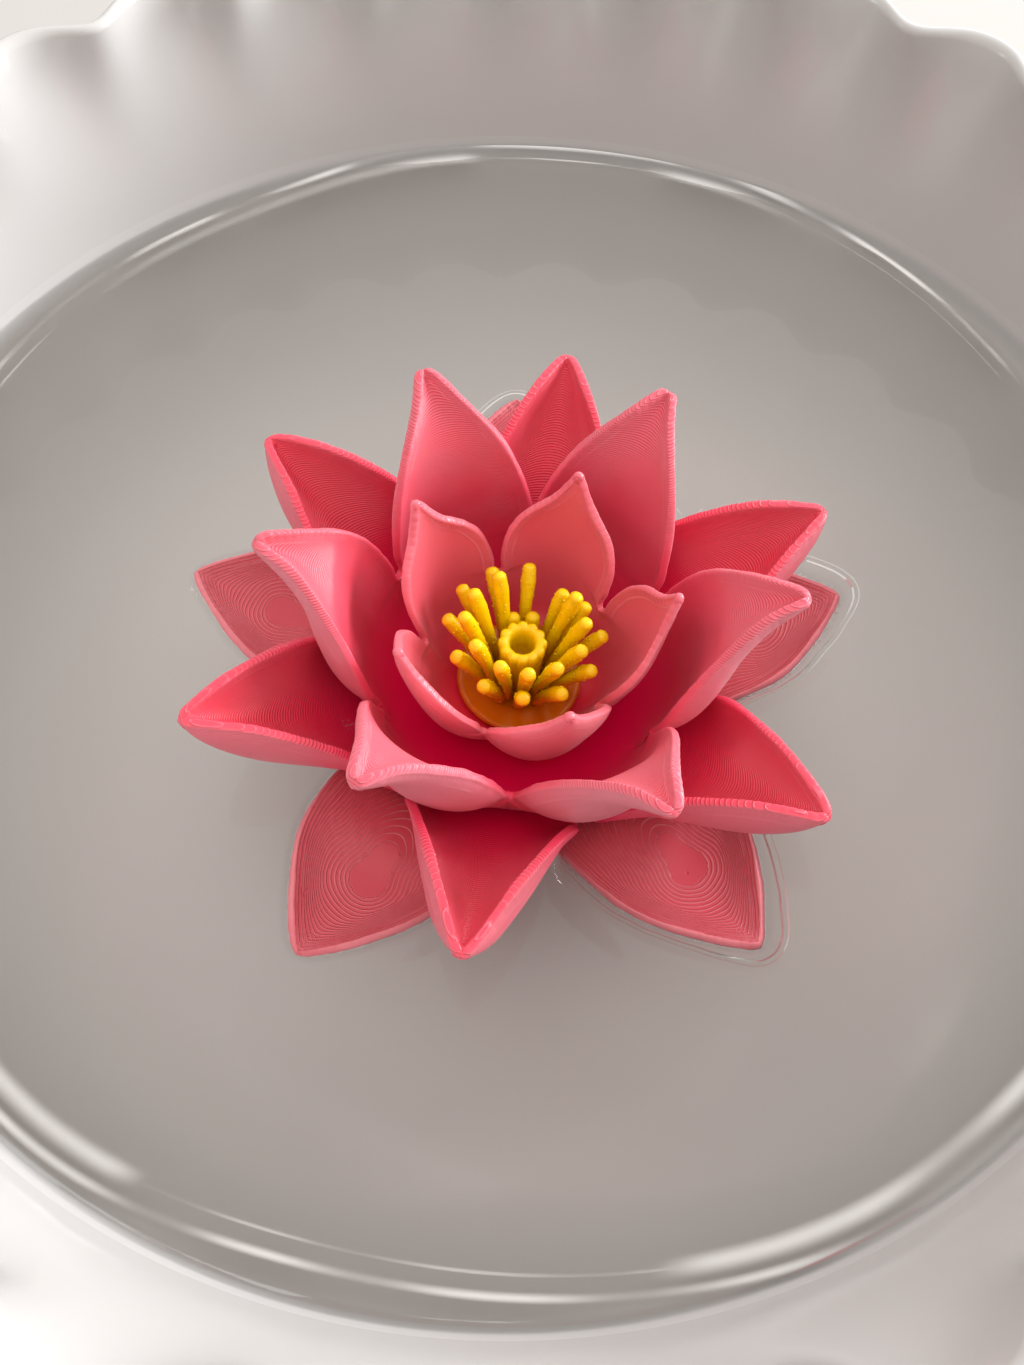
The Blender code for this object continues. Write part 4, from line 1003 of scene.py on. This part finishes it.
def water_material(name="clear_water_edge", tint=(0.965, 0.963, 0.96)):
    """Clear water. Painted reflections: thin lines where the skin curls round the petals, two loose bubbles and bands
    along the bowl's wall are given more mirror shine.
    """
    g = Graph(name)
    shore, bank, bubble = g.attribute("shore"), g.attribute("bank"), g.attribute("bubble")
    wide_noise = g.noise(60.0, 0.0, 0.5)
    slow_noise = g.noise(19.0, 0.0, 0.5)
    # painted reflection: thin bands near the petals and along the wall get more mirror shine
    wander = g.math("ADD", shore, g.math("MULTIPLY", g.math("SUBTRACT", wide_noise, 0.5), 1.6))
    ridge = g.math("MULTIPLY", g.map(wander, 1.02, 1.16), g.map(wander, 1.16, 1.32, 1.0, 0.0))
    second = g.math("MULTIPLY", g.map(wander, 1.60, 1.70), g.map(wander, 1.70, 1.82, 1.0, 0.0))
    ridge = g.math("ADD", g.math("MULTIPLY", ridge, 0.60), g.math("MULTIPLY", second, 0.30))
    ridge = g.math("MULTIPLY", ridge, g.map(slow_noise, 0.40, 0.58))
    drift = g.math("ADD", bank, g.math("MULTIPLY", g.math("SUBTRACT", slow_noise, 0.5), 7.0))
    wall_glint = g.math("MULTIPLY", g.map(drift, 1.5, 2.0), g.map(drift, 2.0, 2.6, 1.0, 0.0))
    wall_glint_two = g.math("MULTIPLY", g.map(drift, 3.6, 3.8), g.map(drift, 3.8, 4.1, 1.0, 0.0))
    wall_glint = g.math("MULTIPLY", g.math("ADD", wall_glint, g.math("MULTIPLY", wall_glint_two, 0.6)), g.map(wide_noise, 0.42, 0.66, 0.06, 0.65))
    # broader patches of painted reflection in a few places along the wall
    streak = g.math("MULTIPLY", g.map(drift, 2.7, 3.9), g.map(drift, 3.9, 5.0, 1.0, 0.0))
    streak = g.math("MULTIPLY", streak, g.map(g.noise(27.0, 0.0, 0.5), 0.53, 0.62, 0.0, 0.50))
    wall_glint = g.math("MAXIMUM", wall_glint, streak)
    # painted reflection round the two loose bubbles
    skin = g.math("MULTIPLY", g.map(bubble, 0.0, 0.18, 1.0, 0.0), 0.50)
    # painted shade: the water is drawn a little darker right at the petals' edges
    shore_shade = g.math("MULTIPLY", g.map(shore, 0.0, 0.9, 1.0, 0.0), 0.10)
    fresnel = g.node("ShaderNodeFresnel", {"IOR": 1.34})
    share = g.math("ADD", fresnel.outputs[0], g.math("ADD", g.math("ADD", ridge, wall_glint), skin), clamp=True)
    through = g.mix(shore_shade, tint, (0.0, 0.0, 0.0))
    clear = g.node("ShaderNodeBsdfTransparent", {"Color": through})
    shine = g.node("ShaderNodeBsdfGlossy", {"Color": (1.0, 1.0, 1.0, 1.0), "Roughness": 0.03})
    both = g.node("ShaderNodeMixShader", {0: share, 1: clear.outputs[0], 2: shine.outputs[0]})
    return g.close(both.outputs[0])


# ---- build ----
# in each petal material the first colour is painted shade deep in the cup of the flower
# the lowest petals get a darker copy of the petal plastic: painted shade, as they lie low and flat at the water
shaded_low_mat = petal_material("petal_dusty", (0.50, 0.02, 0.05), (0.70, 0.078, 0.112), (0.90, 0.33, 0.37), 0.38, 1.0, 0.46, 8.0, 13.0, 10.0, 18.0, 0.0, 0.08)
outer_mat = petal_material("petal_coral_outer", (0.99, 0.0030, 0.100), (0.86, 0.028, 0.071), (0.97, 0.29, 0.36), 0.30, 1.0, 0.26, 17.0, 27.0, 16.0, 30.0, 0.0, 0.04)
mid_mat = petal_material("petal_coral_mid", (0.99, 0.0030, 0.108), (0.85, 0.078, 0.124), (0.98, 0.36, 0.44), 0.29, 1.0, 0.26, 15.0, 23.0, 12.5, 21.0, 0.0, 0.13)
inner_mat = petal_material("petal_coral_inner", (0.97, 0.014, 0.058), (0.87, 0.115, 0.160), (0.98, 0.40, 0.47), 0.30, 0.22, 0.05, 10.0, 15.0, 6.0, 11.0, 0.0, 0.20)

clouds = []
plan = (("base_petals", 10, 86, 54, 24, shaded_low_mat, "petal_dusty"), ("outer_petals", 10, 96, 44, 24, outer_mat, "petal_coral"),
        ("mid_petals", 14, 92, 44, 24, mid_mat, "petal_coral"), ("inner_petals", 8, 70, 36, 14, inner_mat, "petal_coral"))
for name, crease_rows, free_rows, across, passes, mat, slot in plan:
    verts, faces, info = ring_piece(name, crease_rows, free_rows, across, passes, mat, slot)
    piece, placed = finish_ring(name, verts, faces, info, mat)
    clouds.append((name.split("_")[0], placed))
stamens_piece([stamen_material(), disc_material()])
bowl_piece(bowl_materials())
water_piece(clouds[:3], [water_material(), open_water_material()])

# ---- stage, light and camera ----
paths = bpy.context.scene.cycles
paths.max_bounces, paths.diffuse_bounces, paths.glossy_bounces = 4, 2, 1
paths.transmission_bounces, paths.transparent_max_bounces, paths.caustics_reflective = 1, 6, False
ROOM_LIGHT = (0.34, 0.20, 0.92)
ROOM_DIM = (0.14, 0.118, 0.100, 1.0)
ROOM_BRIGHT = (1.18, 1.115, 1.07, 1.0)


def flat_sheet(name, corners, mat):
    mesh = bpy.data.meshes.new(name)
    mesh.from_pydata(corners, [], [(0, 1, 2, 3)])
    mesh.materials.append(mat)
    thing = bpy.data.objects.new(name, mesh)
    bpy.context.scene.collection.objects.link(thing)
    return thing


g = Graph("pale_floor")
tone = g.noise(6.0, 3.0, 0.5)
floor_colour = g.mix(g.map(tone, 0.2, 0.8), (0.50, 0.49, 0.475), (0.56, 0.55, 0.535))
floor_mat = g.close(g.node("ShaderNodeBsdfPrincipled", {"Base Color": floor_colour, "Roughness": 0.75}).outputs["BSDF"])
flat_sheet("floor", [(-3, -3, 0), (3, -3, 0), (3, 3, 0), (-3, 3, 0)], floor_mat)

world = bpy.data.worlds.new("studio")
bpy.context.scene.world = world
world.use_nodes = True
sky = world.node_tree
back = sky.nodes["Background"]
# a room that is brighter overhead and to the right and back, warmer and dimmer towards the front
facing = sky.nodes.new("ShaderNodeVectorMath")
facing.operation = "DOT_PRODUCT"
facing.inputs[1].default_value = ROOM_LIGHT
sky.links.new(sky.nodes.new("ShaderNodeTexCoord").outputs["Generated"], facing.inputs[0])
ramp = sky.nodes.new("ShaderNodeMapRange")
ramp.interpolation_type = "SMOOTHSTEP"
ramp.inputs["From Min"].default_value, ramp.inputs["From Max"].default_value = -0.7, 1.0
sky.links.new(facing.outputs["Value"], ramp.inputs["Value"])
room = sky.nodes.new("ShaderNodeMix")
room.data_type = "RGBA"
room.inputs[6].default_value = ROOM_DIM
room.inputs[7].default_value = ROOM_BRIGHT
sky.links.new(ramp.outputs["Result"], room.inputs[0])
sky.links.new(room.outputs[2], back.inputs["Color"])
back.inputs["Strength"].default_value = 1.0


def area(name, where, aim, width, depth, radiance, colour=(1.0, 1.0, 1.0)):
    light = bpy.data.lights.new(name, "AREA")
    light.shape = "RECTANGLE"
    light.size, light.size_y, light.color = width, depth, colour
    light.energy = radiance * math.pi * width * depth
    thing = bpy.data.objects.new(name, light)
    bpy.context.scene.collection.objects.link(thing)
    thing.location = where
    thing.rotation_euler = (Vector(aim) - Vector(where)).to_track_quat("-Z", "Y").to_euler()
    return thing


area("window_right", (0.94, 0.38, 0.41), (0, 0, 0.04), 0.60, 0.46, 18.0, (0.975, 0.995, 1.0))
area("window_back", (0.28, 1.05, 0.38), (0, 0, 0.04), 0.60, 0.20, 5.5, (0.97, 0.99, 1.0))
area("window_left", (-0.85, 0.22, 0.70), (0, 0, 0.04), 0.30, 0.14, 6.5, (1.0, 0.97, 0.93))

scene = bpy.context.scene
scene.view_settings.view_transform = "Standard"
scene.view_settings.look = "None"
scene.view_settings.exposure = 0.0

pos = Vector((FLOWER_X - 0.9, FLOWER_Y - 62.2, WATER_LEVEL + 106.3)) * MM
ahead = Vector((0, 0.490, -0.8717)).normalized()
right0 = ahead.cross(Vector((0, 0, 1))).normalized()
up0 = right0.cross(ahead)
roll = math.radians(0.8)
right = math.cos(roll) * right0 + math.sin(roll) * up0
up = -math.sin(roll) * right0 + math.cos(roll) * up0
lens = bpy.data.cameras.new("camera")
lens.sensor_fit = "HORIZONTAL"
lens.sensor_width = 36.0
lens.lens = 1100.0 / 1024.0 * 36.0
lens.clip_start = 0.001
lens.clip_end = 20.0
camera = bpy.data.objects.new("camera", lens)
scene.collection.objects.link(camera)
camera.matrix_world = Matrix(((right.x, up.x, -ahead.x, pos.x), (right.y, up.y, -ahead.y, pos.y), (right.z, up.z, -ahead.z, pos.z), (0, 0, 0, 1)))
scene.camera = camera
